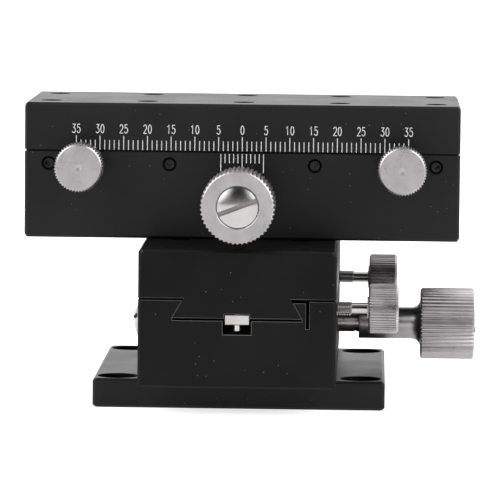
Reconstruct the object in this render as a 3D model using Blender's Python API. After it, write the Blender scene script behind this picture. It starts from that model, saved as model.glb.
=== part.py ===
"""Two-axis dovetail stage: two equal rack-and-pinion slides stacked crosswise on a flange plate.

Metres, +Z up. The origin is the centre of the flange plate's underside. The lower slide travels along Y
and the upper one along X. Each slide is built in its own stage frame, where the travel is along Y, the
drive knob is on the +X side and z = 0 is the underside of the slide's base.
"""

import math

import bmesh
import bpy
from mathutils import Matrix

# Overall sizes
PLATE_SIDE = 0.060
PLATE_THICKNESS = 0.006
STAGE_LENGTH = 0.090
STAGE_WIDTH = 0.040
BASE_HEIGHT = 0.018
TABLE_HEIGHT = 0.010
END_OF_TRAVEL = 0.010  # from the end of the stage to where the pinion's travel along it stops

# Clearances
GAP = 0.0003  # between pieces that bear on each other
SLIDE_CLEARANCE = 0.00005  # across each dovetail flank
SHAFT_CLEARANCE = 0.0001  # all round a turning shaft

# Edges
EDGE_CHAMFER = 0.0005  # outer edges of the blocks
DECK_CHAMFER = 0.0002  # edges where a table meets its base

# Dovetail, measured down from the deck, where the table meets the base
DOVETAIL_WIDTH = 0.0218  # of the table's dovetail at the deck
DOVETAIL_DEPTH = 0.0035
DOVETAIL_SLOPE = math.tan(math.radians(30))
GROOVE_DEPTH = 0.00425  # of the base's groove, whose sides are upright below the dovetail
RACK_GROOVE_DEPTH = 0.00705
GIB_SLIT_WIDTH = 0.0007
GIB_SLIT_DEPTH = 0.0057
GIB_DROP = 0.0005  # of the gib's top below the deck
GIB_NECK = 0.0009  # wall left between the slit and the groove's corner

# Tapped grid on each table
GRID_PITCH = 0.020
GRID_ROWS = (-0.0125, 0.0125)
GRID_MARGIN = 0.0040  # least distance from the end of the table to a column of holes
GRID_HOLE_DEPTH = 0.008
M4_RADIUS = 0.0020
TABLE_SCREW_COLUMN = 0  # the column of the lower table's grid that the upper base is screwed to

# Flange plate
PLATE_HOLE_INSET = 0.005  # from the plate's edge to a hole's centre
PLATE_HOLE_RADIUS = 0.00225
COUNTERBORE_RADIUS = 0.0040
COUNTERBORE_DEPTH = 0.0043
PLATE_SCREW_PLACES = ((-0.0125, -0.020), (0.0125, -0.020), (-0.0125, 0.020), (0.0125, 0.020))
PLATE_SCREW_HEAD_RADIUS = 0.0037
PLATE_SCREW_REACH = 0.0070  # into the base block
PLATE_SCREW_SOCKET = 0.00125  # half of the width across flats
PLATE_SCREW_SOCKET_DEPTH = 0.0015

# Screws through the upper base into the lower table
STAGE_SCREW_HEAD_RADIUS = 0.0035
STAGE_SCREW_HEAD_HEIGHT = 0.0040
STAGE_SCREW_SEAT = 0.0065  # above the base's underside
STAGE_SCREW_REACH = 0.0065  # into the lower table
STAGE_SCREW_SOCKET = 0.0015
STAGE_SCREW_SOCKET_DEPTH = 0.0020

# Rack and pinion
MODULE = 0.0005
PRESSURE_ANGLE = math.radians(20)
PINION_TEETH = 12
RACK_ADDENDUM = 0.0004
PINION_ADDENDUM = 0.00045
DEDENDUM = 0.000625
BACKLASH = 0.00016  # taken off each tooth's thickness
PINION_WIDTH = 0.0052
PINION_HEIGHT = 0.0090  # of the shaft's axis above the base's underside
RACK_WIDTH = 0.0050
RACK_TOP_DEPTH = 0.0029  # below the deck
RACK_END_DEPTH = 0.00515  # underside of the rack's plain ends
RACK_END_INSET = 0.0007  # from the end of the table

# Rack fittings
STOP_PIN_RADIUS = 0.0009
STOP_PIN_TOP_DEPTH = 0.0010
STOP_PIN_END_DEPTH = 0.0062
RACK_SCREW_INSET = 0.0025  # from the end of the table
RACK_SCREW_RADIUS = 0.0009
RACK_SCREW_REACH = 0.0045  # above the rack's top
RACK_SCREW_DROP = 0.00125  # below the underside of the rack's ends
RACK_SCREW_SOCKET = 0.0005
RACK_SCREW_SOCKET_DEPTH = 0.0007

# Pinion shaft and its fittings
SHAFT_RADIUS = 0.0020
SHAFT_SCREW_RADIUS = 0.00125
SHAFT_SCREW_REACH = 0.0060
BUSH_RADIUS = 0.0035
WASHER_RADIUS = 0.0040
WASHER_THICKNESS = 0.0006
END_SCREW_HEAD_RADIUS = 0.0040
END_SCREW_SIDE = 0.00205  # from the base's side to the start of the dome
END_SCREW_DOME = 0.0010
SLOT_WIDTH = 0.0010
SLOT_DEPTH = 0.0010
SLOT_ANGLE = math.radians(21)

# Drive knob, measured out from the base's side
KNOB_START = 0.0044
KNOB_HUB_END = 0.0153
KNOB_HEAD_START = 0.0177
KNOB_END = 0.0287
KNOB_HUB_RADIUS = 0.00335
KNOB_FLARE_RADIUS = 0.00495
KNOB_RADIUS = 0.0075
KNOB_CHAMFER = 0.0004
KNOB_RECESS_RADIUS = 0.00425
KNOB_RECESS_DEPTH = 0.0020
KNOB_SCREW_HEAD_RADIUS = 0.00395
KNOB_SCREW_SIDE = 0.0016
KNOB_SCREW_DOME = 0.0006

# Gib and clamp screws
M3_RADIUS = 0.0015
GIB_SCREW_DEPTH = 0.0026  # of their axes below the deck
GIB_SCREW_INSET = 0.005  # of the outer screws from the base's ends
GIB_SCREW_INNER = 0.015  # of the inner screws from its middle
GIB_SCREW_RECESS = 0.0004
GIB_SCREW_SOCKET = 0.00075
GIB_SCREW_SOCKET_DEPTH = 0.0015
CLAMP_INSET = 0.012  # from the base's ends
CLAMP_PAD_LENGTH = 0.0016
CLAMP_THREAD_END = 0.00305  # out from the base's side
CLAMP_NECK_RADIUS = 0.0012
CLAMP_KNOB_START = 0.0062
CLAMP_BOSS_RADIUS = 0.0024
CLAMP_HEAD_START = 0.0065
CLAMP_END = 0.0126
CLAMP_RADIUS = 0.0050
CLAMP_CHAMFER = 0.0005
CLAMP_BORE_DEPTH = 0.0045

# Fineness of round pieces
FINE = 32
ROUND = 16
SMALL = 12
ARC_STEPS = 3
SMOOTH_ANGLE = math.radians(30)

# Sizes worked out from the ones above
HALF_LENGTH = STAGE_LENGTH / 2
HALF_WIDTH = STAGE_WIDTH / 2
STAGE_HEIGHT = BASE_HEIGHT + TABLE_HEIGHT
TRAVEL = HALF_LENGTH - END_OF_TRAVEL  # each way from the middle
LAST_COLUMN = math.floor((HALF_LENGTH - GRID_MARGIN) / GRID_PITCH)
GRID_COLUMNS = range(-LAST_COLUMN, LAST_COLUMN + 1)
TAPPED_GRID = [(row, column * GRID_PITCH) for column in GRID_COLUMNS for row in GRID_ROWS]
GIB_SCREW_PLACES = (
    GIB_SCREW_INSET - HALF_LENGTH,
    -GIB_SCREW_INNER,
    GIB_SCREW_INNER,
    HALF_LENGTH - GIB_SCREW_INSET,
)
CLAMP_PLACES = (CLAMP_INSET - HALF_LENGTH, HALF_LENGTH - CLAMP_INSET)
GROOVE_OFFSET = SLIDE_CLEARANCE * math.hypot(1, DOVETAIL_SLOPE)
RACK_SLOT_HALF_WIDTH = RACK_WIDTH / 2 + GAP
RACK_GROOVE_HALF_WIDTH = PINION_WIDTH / 2 + GAP
GIB_SLIT_START = DOVETAIL_WIDTH / 2 + GROOVE_OFFSET + DOVETAIL_DEPTH * DOVETAIL_SLOPE + GIB_NECK
SHAFT_HOLE_RADIUS = SHAFT_SCREW_RADIUS + GAP
PITCH_RADIUS = MODULE * PINION_TEETH / 2
PINION_TIP_RADIUS = PITCH_RADIUS + PINION_ADDENDUM
TOOTH_PITCH = math.pi * MODULE
PITCH_LINE_DEPTH = BASE_HEIGHT - PINION_HEIGHT - PITCH_RADIUS
STOP_PIN_RISE = BASE_HEIGHT - STOP_PIN_END_DEPTH - PINION_HEIGHT
STOP_PIN_PLACE = TRAVEL + math.sqrt(PINION_TIP_RADIUS**2 - STOP_PIN_RISE**2) + STOP_PIN_RADIUS + GAP
RACK_SCREW_PLACE = HALF_LENGTH - RACK_SCREW_INSET

# Directions that a turned piece, made along its own +X, can be pointed in
OUTWARD = (0.0, 0.0, 0.0)
INWARD = (0.0, 0.0, math.pi)
UPWARD = (0.0, -math.pi / 2, 0.0)


def clear_scene():
    for item in list(bpy.data.objects):
        bpy.data.objects.remove(item, do_unlink=True)


def make_material(name, colour, metallic, roughness):
    material = bpy.data.materials.new(name)
    material.use_nodes = True
    shader = material.node_tree.nodes["Principled BSDF"]
    shader.inputs["Base Color"].default_value = (*colour, 1.0)
    shader.inputs["Metallic"].default_value = metallic
    shader.inputs["Roughness"].default_value = roughness
    return material


def make_empty(name, location, turn=0.0, parent=None):
    empty = bpy.data.objects.new(name, None)
    empty.location = location
    empty.rotation_euler = (0.0, 0.0, turn)
    empty.parent = parent
    bpy.context.scene.collection.objects.link(empty)
    return empty


def mesh_from(shape, name):
    """Turns a bmesh into a mesh whose faces point out, and frees the bmesh."""
    bmesh.ops.recalc_face_normals(shape, faces=shape.faces)
    mesh = bpy.data.meshes.new(name)
    shape.to_mesh(mesh)
    shape.free()
    return mesh


def add_piece(name, mesh, material, parent, location=(0.0, 0.0, 0.0), rotation=OUTWARD):
    piece = bpy.data.objects.new(name, mesh)
    piece.location = location
    piece.rotation_euler = rotation
    piece.parent = parent
    if material is not None:
        mesh.materials.append(material)
        mesh.shade_smooth()
        mesh.set_sharp_from_angle(angle=SMOOTH_ANGLE)
    bpy.context.scene.collection.objects.link(piece)
    return piece


def cut(piece, cutter):
    """Cuts one object from another with an exact Boolean."""
    cutter.hide_render = True
    cutter.display_type = "WIRE"
    boolean = piece.modifiers.new(cutter.name, "BOOLEAN")
    boolean.operation = "DIFFERENCE"
    boolean.object = cutter


def loft(name, sections):
    """A closed mesh through outlines with equal numbers of points, with flat ends."""
    shape = bmesh.new()
    rings = [[shape.verts.new(point) for point in section] for section in sections]
    for near, far in zip(rings, rings[1:]):
        for index in range(len(near)):
            following = (index + 1) % len(near)
            shape.faces.new((near[index], near[following], far[following], far[index]))
    shape.faces.new(rings[0])
    shape.faces.new(rings[-1])
    return mesh_from(shape, name)


def along_y(outline, y):
    return [(x, y, z) for x, z in outline]


def ring_angles(count):
    return [2 * math.pi * index / count for index in range(count)]


def hexagon(half_flats, count):
    """The radii, at evenly spaced angles, of a hexagon with this distance from its centre to its flats."""
    sixth = math.pi / 3
    return [half_flats / math.cos((angle + sixth / 2) % sixth - sixth / 2) for angle in ring_angles(count)]


def turned(name, outline, count=ROUND, angles=None):
    """A mesh turned about X from (place along X, radius) points.

    The outline starts and ends on the axis, or else it closes on itself. A radius may also be a list with
    one value for each angle.
    """
    angles = angles or ring_angles(count)
    shape = bmesh.new()
    rings = []
    for along, radius in outline:
        if radius == 0:
            rings.append([shape.verts.new((along, 0.0, 0.0))])
            continue
        radii = radius if isinstance(radius, list) else [radius] * len(angles)
        rings.append(
            [
                shape.verts.new((along, reach * math.cos(angle), reach * math.sin(angle)))
                for reach, angle in zip(radii, angles)
            ]
        )
    followers = rings[1:] if len(rings[0]) == 1 else rings[1:] + rings[:1]
    for near, far in zip(rings, followers):
        for index in range(len(angles)):
            following = (index + 1) % len(angles)
            corners = [near[index % len(near)], near[following % len(near)]]
            corners += [far[following % len(far)], far[index % len(far)]]
            shape.faces.new(list(dict.fromkeys(corners)))
    return mesh_from(shape, name)


def repeated(name, mesh, matrices):
    """One mesh holding a copy of the given one at each matrix."""
    shape = bmesh.new()
    for matrix in matrices:
        copy = mesh.copy()
        copy.transform(matrix)
        shape.from_mesh(copy)
        bpy.data.meshes.remove(copy)
    bpy.data.meshes.remove(mesh)
    return mesh_from(shape, name)


def upright(x, y, z):
    """The matrix that stands a turned mesh on end at a place."""
    return Matrix.Translation((x, y, z)) @ Matrix.Rotation(-math.pi / 2, 4, "Y")


def sideways(x, y, z):
    return Matrix.Translation((x, y, z))


def dome(start, radius, height):
    """Points of a spherical cap on a head of this radius, ending on the axis."""
    sphere = (radius**2 + height**2) / (2 * height)
    edge = math.asin(radius / sphere)
    centre = start + height - sphere
    points = []
    for step in range(1, ARC_STEPS):
        angle = edge * (1 - step / ARC_STEPS)
        points.append((centre + sphere * math.cos(angle), sphere * math.sin(angle)))
    return points + [(start + height, 0)]


# ---- Flange plate ----


def plate_outline(inset):
    reach = PLATE_SIDE / 2 - inset
    flat = reach - EDGE_CHAMFER
    points = [(reach, -flat), (reach, flat), (flat, reach), (-flat, reach)]
    return points + [(-x, -y) for x, y in points]


def make_base_plate(material, dark_steel, brace):
    """The flange plate and the countersunk screws that hold the lower base from below."""
    levels = [
        (0.0, EDGE_CHAMFER),
        (EDGE_CHAMFER, 0.0),
        (PLATE_THICKNESS - EDGE_CHAMFER, 0.0),
        (PLATE_THICKNESS, EDGE_CHAMFER),
    ]
    sections = [[(x, y, z) for x, y in plate_outline(inset)] for z, inset in levels]
    plate = add_piece("base_plate", loft("base_plate", sections), material, brace)
    corner = PLATE_SIDE / 2 - PLATE_HOLE_INSET
    seat = PLATE_THICKNESS - COUNTERBORE_DEPTH
    hole = [
        (-GAP, 0),
        (-GAP, PLATE_HOLE_RADIUS),
        (seat, PLATE_HOLE_RADIUS),
        (seat, COUNTERBORE_RADIUS),
        (PLATE_THICKNESS + GAP, COUNTERBORE_RADIUS),
        (PLATE_THICKNESS + GAP, 0),
    ]
    places = [upright(x, y, 0.0) for x in (-corner, corner) for y in (-corner, corner)]
    cut(plate, add_piece("plate_holes", repeated("plate_holes", turned("hole", hole), places), None, brace))
    head = PLATE_SCREW_HEAD_RADIUS
    shank = M4_RADIUS - GAP
    cone = head - shank
    slack = GAP * (1 + math.sqrt(2))
    passage = [
        (-GAP, 0),
        (-GAP, head + slack + 2 * GAP),
        (cone + GAP, shank + slack),
        (PLATE_THICKNESS + GAP, shank + slack),
        (PLATE_THICKNESS + GAP, 0),
    ]
    places = [upright(x, y, 0.0) for x, y in PLATE_SCREW_PLACES]
    mesh = repeated("plate_screw_holes", turned("passage", passage), places)
    cut(plate, add_piece("plate_screw_holes", mesh, None, brace))
    socket = hexagon(PLATE_SCREW_SOCKET, SMALL)
    tip = PLATE_THICKNESS + GAP + PLATE_SCREW_REACH
    screw = [
        (GAP + PLATE_SCREW_SOCKET_DEPTH, 0),
        (GAP + PLATE_SCREW_SOCKET_DEPTH, socket),
        (GAP, socket),
        (GAP, head),
        (GAP + cone, shank),
        (tip, shank),
        (tip, 0),
    ]
    mesh = turned("plate_screw", screw, SMALL)
    for number, (x, y) in enumerate(PLATE_SCREW_PLACES, 1):
        add_piece(f"plate_screw_{number}", mesh, None, brace, (x, y, 0.0), UPWARD)
    mesh.materials.append(dark_steel)
    return plate


# ---- Blocks of a slide ----


def flank(depth):
    """Half the width of the table's dovetail at a depth below the deck."""
    return DOVETAIL_WIDTH / 2 + depth * DOVETAIL_SLOPE


def base_outline(inset):
    """The base's section, with its outer faces moved in by inset and its deck by a smaller share."""
    drop = inset * DECK_CHAMFER / EDGE_CHAMFER
    side = HALF_WIDTH - inset
    foot = GAP + inset
    deck = BASE_HEIGHT - drop
    floor = BASE_HEIGHT - GROOVE_DEPTH
    bed = BASE_HEIGHT - RACK_GROOVE_DEPTH
    gib = BASE_HEIGHT - GIB_DROP
    mouth = flank(drop) + GROOVE_OFFSET
    gib_mouth = flank(GIB_DROP) + GROOVE_OFFSET
    relief = BASE_HEIGHT - DOVETAIL_DEPTH
    corner = flank(DOVETAIL_DEPTH) + GROOVE_OFFSET
    slit = BASE_HEIGHT - GIB_SLIT_DEPTH
    return [
        (-side, foot + EDGE_CHAMFER),
        (-side + EDGE_CHAMFER, foot),
        (side - EDGE_CHAMFER, foot),
        (side, foot + EDGE_CHAMFER),
        (side, deck - DECK_CHAMFER),
        (side - DECK_CHAMFER, deck),
        (GIB_SLIT_START + GIB_SLIT_WIDTH, deck),
        (GIB_SLIT_START + GIB_SLIT_WIDTH, slit),
        (GIB_SLIT_START, slit),
        (GIB_SLIT_START, gib),
        (gib_mouth, gib),
        (corner, relief),
        (corner, floor),
        (RACK_GROOVE_HALF_WIDTH, floor),
        (RACK_GROOVE_HALF_WIDTH, bed),
        (-RACK_GROOVE_HALF_WIDTH, bed),
        (-RACK_GROOVE_HALF_WIDTH, floor),
        (-corner, floor),
        (-corner, relief),
        (-mouth, deck),
        (-side + DECK_CHAMFER, deck),
        (-side, deck - DECK_CHAMFER),
    ]


def table_outline(inset):
    """The table's section, with its outer faces moved in by inset and its underside by a smaller share."""
    rise = inset * DECK_CHAMFER / EDGE_CHAMFER
    side = HALF_WIDTH - inset
    underside = BASE_HEIGHT + GAP + rise
    top = STAGE_HEIGHT - inset
    keel = BASE_HEIGHT - DOVETAIL_DEPTH
    seat = BASE_HEIGHT - RACK_TOP_DEPTH + GAP
    neck = flank(BASE_HEIGHT - underside)
    foot = flank(DOVETAIL_DEPTH)
    right = [
        (RACK_SLOT_HALF_WIDTH, seat),
        (RACK_SLOT_HALF_WIDTH, keel),
        (foot, keel),
        (neck, underside),
        (side - DECK_CHAMFER, underside),
        (side, underside + DECK_CHAMFER),
        (side, top - EDGE_CHAMFER),
        (side - EDGE_CHAMFER, top),
    ]
    return right + [(-x, z) for x, z in reversed(right)]


def block_sections(outline):
    places = [
        (-HALF_LENGTH, EDGE_CHAMFER),
        (-HALF_LENGTH + EDGE_CHAMFER, 0.0),
        (HALF_LENGTH - EDGE_CHAMFER, 0.0),
        (HALF_LENGTH, EDGE_CHAMFER),
    ]
    return [along_y(outline(inset), y) for y, inset in places]


def straight_hole(low, high, radius, count=ROUND):
    return turned("hole", [(low, 0), (low, radius), (high, radius), (high, 0)], count)


def make_base(prefix, material, frame, screw_places, screw_depth, through):
    """A slide's base, with the pinion bore, the gib and clamp screw holes and its fixing holes."""
    base = add_piece(f"{prefix}_base", loft("base", block_sections(base_outline)), material, frame)
    bore = straight_hole(-HALF_WIDTH - GAP, HALF_WIDTH + GAP, BUSH_RADIUS + GAP)
    cut(base, add_piece(f"{prefix}_pinion_bore", bore, None, frame, (0.0, 0.0, PINION_HEIGHT)))
    side_hole = straight_hole(GIB_SLIT_START + GIB_SLIT_WIDTH / 2, HALF_WIDTH + GAP, M3_RADIUS + GAP, SMALL)
    level = BASE_HEIGHT - GIB_SCREW_DEPTH
    places = [sideways(0.0, y, level) for y in GIB_SCREW_PLACES + CLAMP_PLACES]
    holes = repeated("side_holes", side_hole, places)
    cut(base, add_piece(f"{prefix}_side_holes", holes, None, frame))
    if through:
        hole = [
            (-GAP, 0),
            (-GAP, M4_RADIUS + GAP),
            (STAGE_SCREW_SEAT, M4_RADIUS + GAP),
            (STAGE_SCREW_SEAT, STAGE_SCREW_HEAD_RADIUS + GAP),
            (BASE_HEIGHT - GROOVE_DEPTH + GAP, STAGE_SCREW_HEAD_RADIUS + GAP),
            (BASE_HEIGHT - GROOVE_DEPTH + GAP, 0),
        ]
        fixing = turned("hole", hole)
    else:
        fixing = straight_hole(-GAP, GAP + screw_depth + GAP, M4_RADIUS)
    holes = repeated("fixing_holes", fixing, [upright(x, y, 0.0) for x, y in screw_places])
    cut(base, add_piece(f"{prefix}_fixing_holes", holes, None, frame))
    return base


def make_table(prefix, material, carriage):
    """A slide's table, with its grid of tapped holes and the holes that take the rack's screws and pins."""
    table = add_piece(f"{prefix}_table", loft("table", block_sections(table_outline)), material, carriage)
    tapped = straight_hole(STAGE_HEIGHT - GRID_HOLE_DEPTH, STAGE_HEIGHT + GAP, M4_RADIUS)
    grid = repeated("grid", tapped, [upright(x, y, 0.0) for x, y in TAPPED_GRID])
    cut(table, add_piece(f"{prefix}_grid_holes", grid, None, carriage))
    low = BASE_HEIGHT - RACK_TOP_DEPTH
    pin_hole = straight_hole(low, BASE_HEIGHT - STOP_PIN_TOP_DEPTH + GAP, STOP_PIN_RADIUS + GAP, SMALL)
    places = [upright(0.0, y, 0.0) for y in (-STOP_PIN_PLACE, STOP_PIN_PLACE)]
    pin_holes = repeated("pin_holes", pin_hole, places)
    cut(table, add_piece(f"{prefix}_pin_holes", pin_holes, None, carriage))
    screw_hole = straight_hole(low, low + RACK_SCREW_REACH + GAP, RACK_SCREW_RADIUS + GAP, SMALL)
    places = [upright(0.0, y, 0.0) for y in (-RACK_SCREW_PLACE, RACK_SCREW_PLACE)]
    screw_holes = repeated("screw_holes", screw_hole, places)
    cut(table, add_piece(f"{prefix}_rack_screw_holes", screw_holes, None, carriage))
    return table


# ---- Rack ----


def rack_outline():
    """The rack's side view as (y, z) points, with whole teeth over the travel and plain ends."""
    top = BASE_HEIGHT - RACK_TOP_DEPTH
    plain = BASE_HEIGHT - RACK_END_DEPTH
    pitch_line = BASE_HEIGHT - PITCH_LINE_DEPTH
    tip = pitch_line - RACK_ADDENDUM
    root = pitch_line + DEDENDUM
    half_pitch_width = (TOOTH_PITCH / 2 - BACKLASH) / 2
    lean = math.tan(PRESSURE_ANGLE)
    half_tip = half_pitch_width - RACK_ADDENDUM * lean
    half_root = half_pitch_width + DEDENDUM * lean
    end = HALF_LENGTH - RACK_END_INSET
    teeth_each_side = round(TRAVEL / TOOTH_PITCH)
    points = [(end, top), (-end, top), (-end, plain)]
    for tooth in range(-teeth_each_side, teeth_each_side):
        middle = (tooth + 0.5) * TOOTH_PITCH
        start = plain if tooth == -teeth_each_side else root
        finish = plain if tooth == teeth_each_side - 1 else root
        points.append((middle - half_root, start))
        points.append((middle - half_tip, tip))
        points.append((middle + half_tip, tip))
        points.append((middle + half_root, finish))
    return points + [(end, plain)]


def make_rack(prefix, steel, carriage):
    sides = [[(x, y, z) for y, z in rack_outline()] for x in (-RACK_WIDTH / 2, RACK_WIDTH / 2)]
    rack = add_piece(f"{prefix}_rack", loft("rack", sides), steel, carriage)
    low = BASE_HEIGHT - RACK_END_DEPTH - GAP
    high = BASE_HEIGHT - RACK_TOP_DEPTH + GAP
    kinds = (("pin", STOP_PIN_RADIUS, STOP_PIN_PLACE), ("screw", RACK_SCREW_RADIUS, RACK_SCREW_PLACE))
    for kind, radius, place in kinds:
        hole = straight_hole(low, high, radius + GAP, SMALL)
        holes = repeated("holes", hole, [upright(0.0, y, 0.0) for y in (-place, place)])
        cut(rack, add_piece(f"{prefix}_rack_{kind}_holes", holes, None, carriage))
    return rack


def make_rack_fittings(prefix, steel, carriage):
    """The stop pins, which meet the pinion at the ends of the travel, and the rack's screws."""
    low = BASE_HEIGHT - STOP_PIN_END_DEPTH
    high = BASE_HEIGHT - STOP_PIN_TOP_DEPTH
    for number, y in enumerate((-STOP_PIN_PLACE, STOP_PIN_PLACE), 1):
        pin = straight_hole(0.0, high - low, STOP_PIN_RADIUS, SMALL)
        add_piece(f"{prefix}_stop_pin_{number}", pin, steel, carriage, (0.0, y, low), UPWARD)
    end = BASE_HEIGHT - RACK_END_DEPTH - RACK_SCREW_DROP
    socket = hexagon(RACK_SCREW_SOCKET, SMALL)
    tip = RACK_SCREW_DROP + RACK_END_DEPTH - RACK_TOP_DEPTH + RACK_SCREW_REACH
    outline = [
        (RACK_SCREW_SOCKET_DEPTH, 0),
        (RACK_SCREW_SOCKET_DEPTH, socket),
        (0.0, socket),
        (0.0, RACK_SCREW_RADIUS),
        (tip, RACK_SCREW_RADIUS),
        (tip, 0),
    ]
    for number, y in enumerate((-RACK_SCREW_PLACE, RACK_SCREW_PLACE), 1):
        screw = turned("rack_screw", outline, SMALL)
        add_piece(f"{prefix}_rack_screw_{number}", screw, steel, carriage, (0.0, y, end), UPWARD)


# ---- Pinion, bushes and knob ----


def pinion_ring():
    """Angles and radii of the pinion's teeth, with a tooth pointing up at rest."""
    base_radius = PITCH_RADIUS * math.cos(PRESSURE_ANGLE)
    half_pitch = (TOOTH_PITCH / 2 - BACKLASH) / 2 / PITCH_RADIUS
    spread = half_pitch + math.tan(PRESSURE_ANGLE) - PRESSURE_ANGLE
    roll = math.acos(base_radius / PINION_TIP_RADIUS)
    half_tip = spread - (math.tan(roll) - roll)
    root_radius = PITCH_RADIUS - DEDENDUM
    tooth = [
        (-spread, root_radius),
        (-half_tip, PINION_TIP_RADIUS),
        (half_tip, PINION_TIP_RADIUS),
        (spread, root_radius),
    ]
    angles = []
    radii = []
    for number in range(PINION_TEETH):
        middle = math.pi / 2 + 2 * math.pi * number / PINION_TEETH
        angles += [middle + angle for angle, _ in tooth]
        radii += [radius for _, radius in tooth]
    return angles, radii


def make_pinion_shaft(prefix, steel, stage):
    """The shaft that carries the pinion, drilled at both ends for its screws."""
    angles, teeth = pinion_ring()
    low = -HALF_WIDTH
    high = HALF_WIDTH + KNOB_END - KNOB_RECESS_DEPTH - GAP
    drilled = SHAFT_SCREW_REACH + 2 * GAP
    outline = [
        (low + drilled, 0),
        (low + drilled, SHAFT_HOLE_RADIUS),
        (low, SHAFT_HOLE_RADIUS),
        (low, SHAFT_RADIUS),
        (-PINION_WIDTH / 2, SHAFT_RADIUS),
        (-PINION_WIDTH / 2, teeth),
        (PINION_WIDTH / 2, teeth),
        (PINION_WIDTH / 2, SHAFT_RADIUS),
        (high, SHAFT_RADIUS),
        (high, SHAFT_HOLE_RADIUS),
        (high - drilled, SHAFT_HOLE_RADIUS),
        (high - drilled, 0),
    ]
    mesh = turned("pinion_shaft", outline, angles=angles)
    return add_piece(f"{prefix}_pinion_shaft", mesh, steel, stage, (0.0, 0.0, PINION_HEIGHT))


def make_bushes(prefix, brass, stage):
    near = PINION_WIDTH / 2 + GAP
    far = HALF_WIDTH - GAP
    inner = SHAFT_RADIUS + SHAFT_CLEARANCE
    outline = [(near, inner), (near, BUSH_RADIUS), (far, BUSH_RADIUS), (far, inner)]
    for name, direction in (("knob", OUTWARD), ("end", INWARD)):
        bush = turned("bush", outline)
        add_piece(f"{prefix}_{name}_bush", bush, brass, stage, (0.0, 0.0, PINION_HEIGHT), direction)


def slot_cutter(name, parent, top, height, direction, turn):
    """A screw slot across a head whose highest point is at top along the head's own +X."""
    reach = END_SCREW_HEAD_RADIUS + GAP
    half = SLOT_WIDTH / 2
    corners = [(-reach, -half), (reach, -half), (reach, half), (-reach, half)]
    cosine = math.cos(turn)
    sine = math.sin(turn)
    section = [(y * cosine - z * sine, y * sine + z * cosine) for y, z in corners]
    sections = [[(x, y, z) for y, z in section] for x in (top - SLOT_DEPTH, top + GAP)]
    return add_piece(name, loft("slot", sections), None, parent, (0.0, 0.0, height), direction)


def make_end_screw(prefix, steel, stage):
    """The thrust washer and the domed screw on the side away from the knob."""
    inner = HALF_WIDTH + GAP
    outer = inner + WASHER_THICKNESS
    ring = [
        (inner, SHAFT_HOLE_RADIUS),
        (inner, WASHER_RADIUS),
        (outer, WASHER_RADIUS),
        (outer, SHAFT_HOLE_RADIUS),
    ]
    place = (0.0, 0.0, PINION_HEIGHT)
    add_piece(f"{prefix}_thrust_washer", turned("washer", ring), steel, stage, place, INWARD)
    under = outer + GAP
    crown = HALF_WIDTH + END_SCREW_SIDE
    tip = HALF_WIDTH - SHAFT_SCREW_REACH
    outline = [
        (tip, 0),
        (tip, SHAFT_SCREW_RADIUS),
        (under, SHAFT_SCREW_RADIUS),
        (under, END_SCREW_HEAD_RADIUS),
        (crown, END_SCREW_HEAD_RADIUS),
    ]
    outline += dome(crown, END_SCREW_HEAD_RADIUS, END_SCREW_DOME)
    mesh = turned("end_screw", outline, FINE // 2)
    screw = add_piece(f"{prefix}_end_screw", mesh, steel, stage, place, INWARD)
    top = crown + END_SCREW_DOME
    cut(screw, slot_cutter(f"{prefix}_end_screw_slot", stage, top, PINION_HEIGHT, INWARD, SLOT_ANGLE))


def make_knob(prefix, steel, stage):
    """The drive knob on the shaft, and the domed screw in its recess."""
    place = (0.0, 0.0, PINION_HEIGHT)
    bore = SHAFT_RADIUS + GAP
    outline = [
        (KNOB_START, bore),
        (KNOB_START, KNOB_HUB_RADIUS - GAP),
        (KNOB_START + GAP, KNOB_HUB_RADIUS),
    ]
    for step in range(ARC_STEPS + 1):
        angle = math.pi / 2 * step / ARC_STEPS
        along = KNOB_HUB_END + (KNOB_HEAD_START - KNOB_HUB_END) * math.sin(angle)
        radius = KNOB_FLARE_RADIUS - (KNOB_FLARE_RADIUS - KNOB_HUB_RADIUS) * math.cos(angle)
        outline.append((along, radius))
    outline += [
        (KNOB_HEAD_START, KNOB_RADIUS - KNOB_CHAMFER),
        (KNOB_HEAD_START + KNOB_CHAMFER, KNOB_RADIUS),
        (KNOB_END - KNOB_CHAMFER, KNOB_RADIUS),
        (KNOB_END, KNOB_RADIUS - KNOB_CHAMFER),
        (KNOB_END, KNOB_RECESS_RADIUS),
        (KNOB_END - KNOB_RECESS_DEPTH, KNOB_RECESS_RADIUS),
        (KNOB_END - KNOB_RECESS_DEPTH, bore),
    ]
    outline = [(HALF_WIDTH + along, radius) for along, radius in outline]
    add_piece(f"{prefix}_knob", turned("knob", outline, FINE), steel, stage, place)
    under = HALF_WIDTH + KNOB_END - KNOB_RECESS_DEPTH + GAP
    tip = under - SHAFT_SCREW_REACH
    crown = under + KNOB_SCREW_SIDE
    outline = [
        (tip, 0),
        (tip, SHAFT_SCREW_RADIUS),
        (under, SHAFT_SCREW_RADIUS),
        (under, KNOB_SCREW_HEAD_RADIUS),
        (crown, KNOB_SCREW_HEAD_RADIUS),
    ]
    outline += dome(crown, KNOB_SCREW_HEAD_RADIUS, KNOB_SCREW_DOME)
    mesh = turned("knob_screw", outline, FINE // 2)
    screw = add_piece(f"{prefix}_knob_screw", mesh, steel, stage, place)
    top = crown + KNOB_SCREW_DOME
    cut(screw, slot_cutter(f"{prefix}_knob_screw_slot", stage, top, PINION_HEIGHT, OUTWARD, SLOT_ANGLE))


# ---- Gib and clamp screws ----


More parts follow.
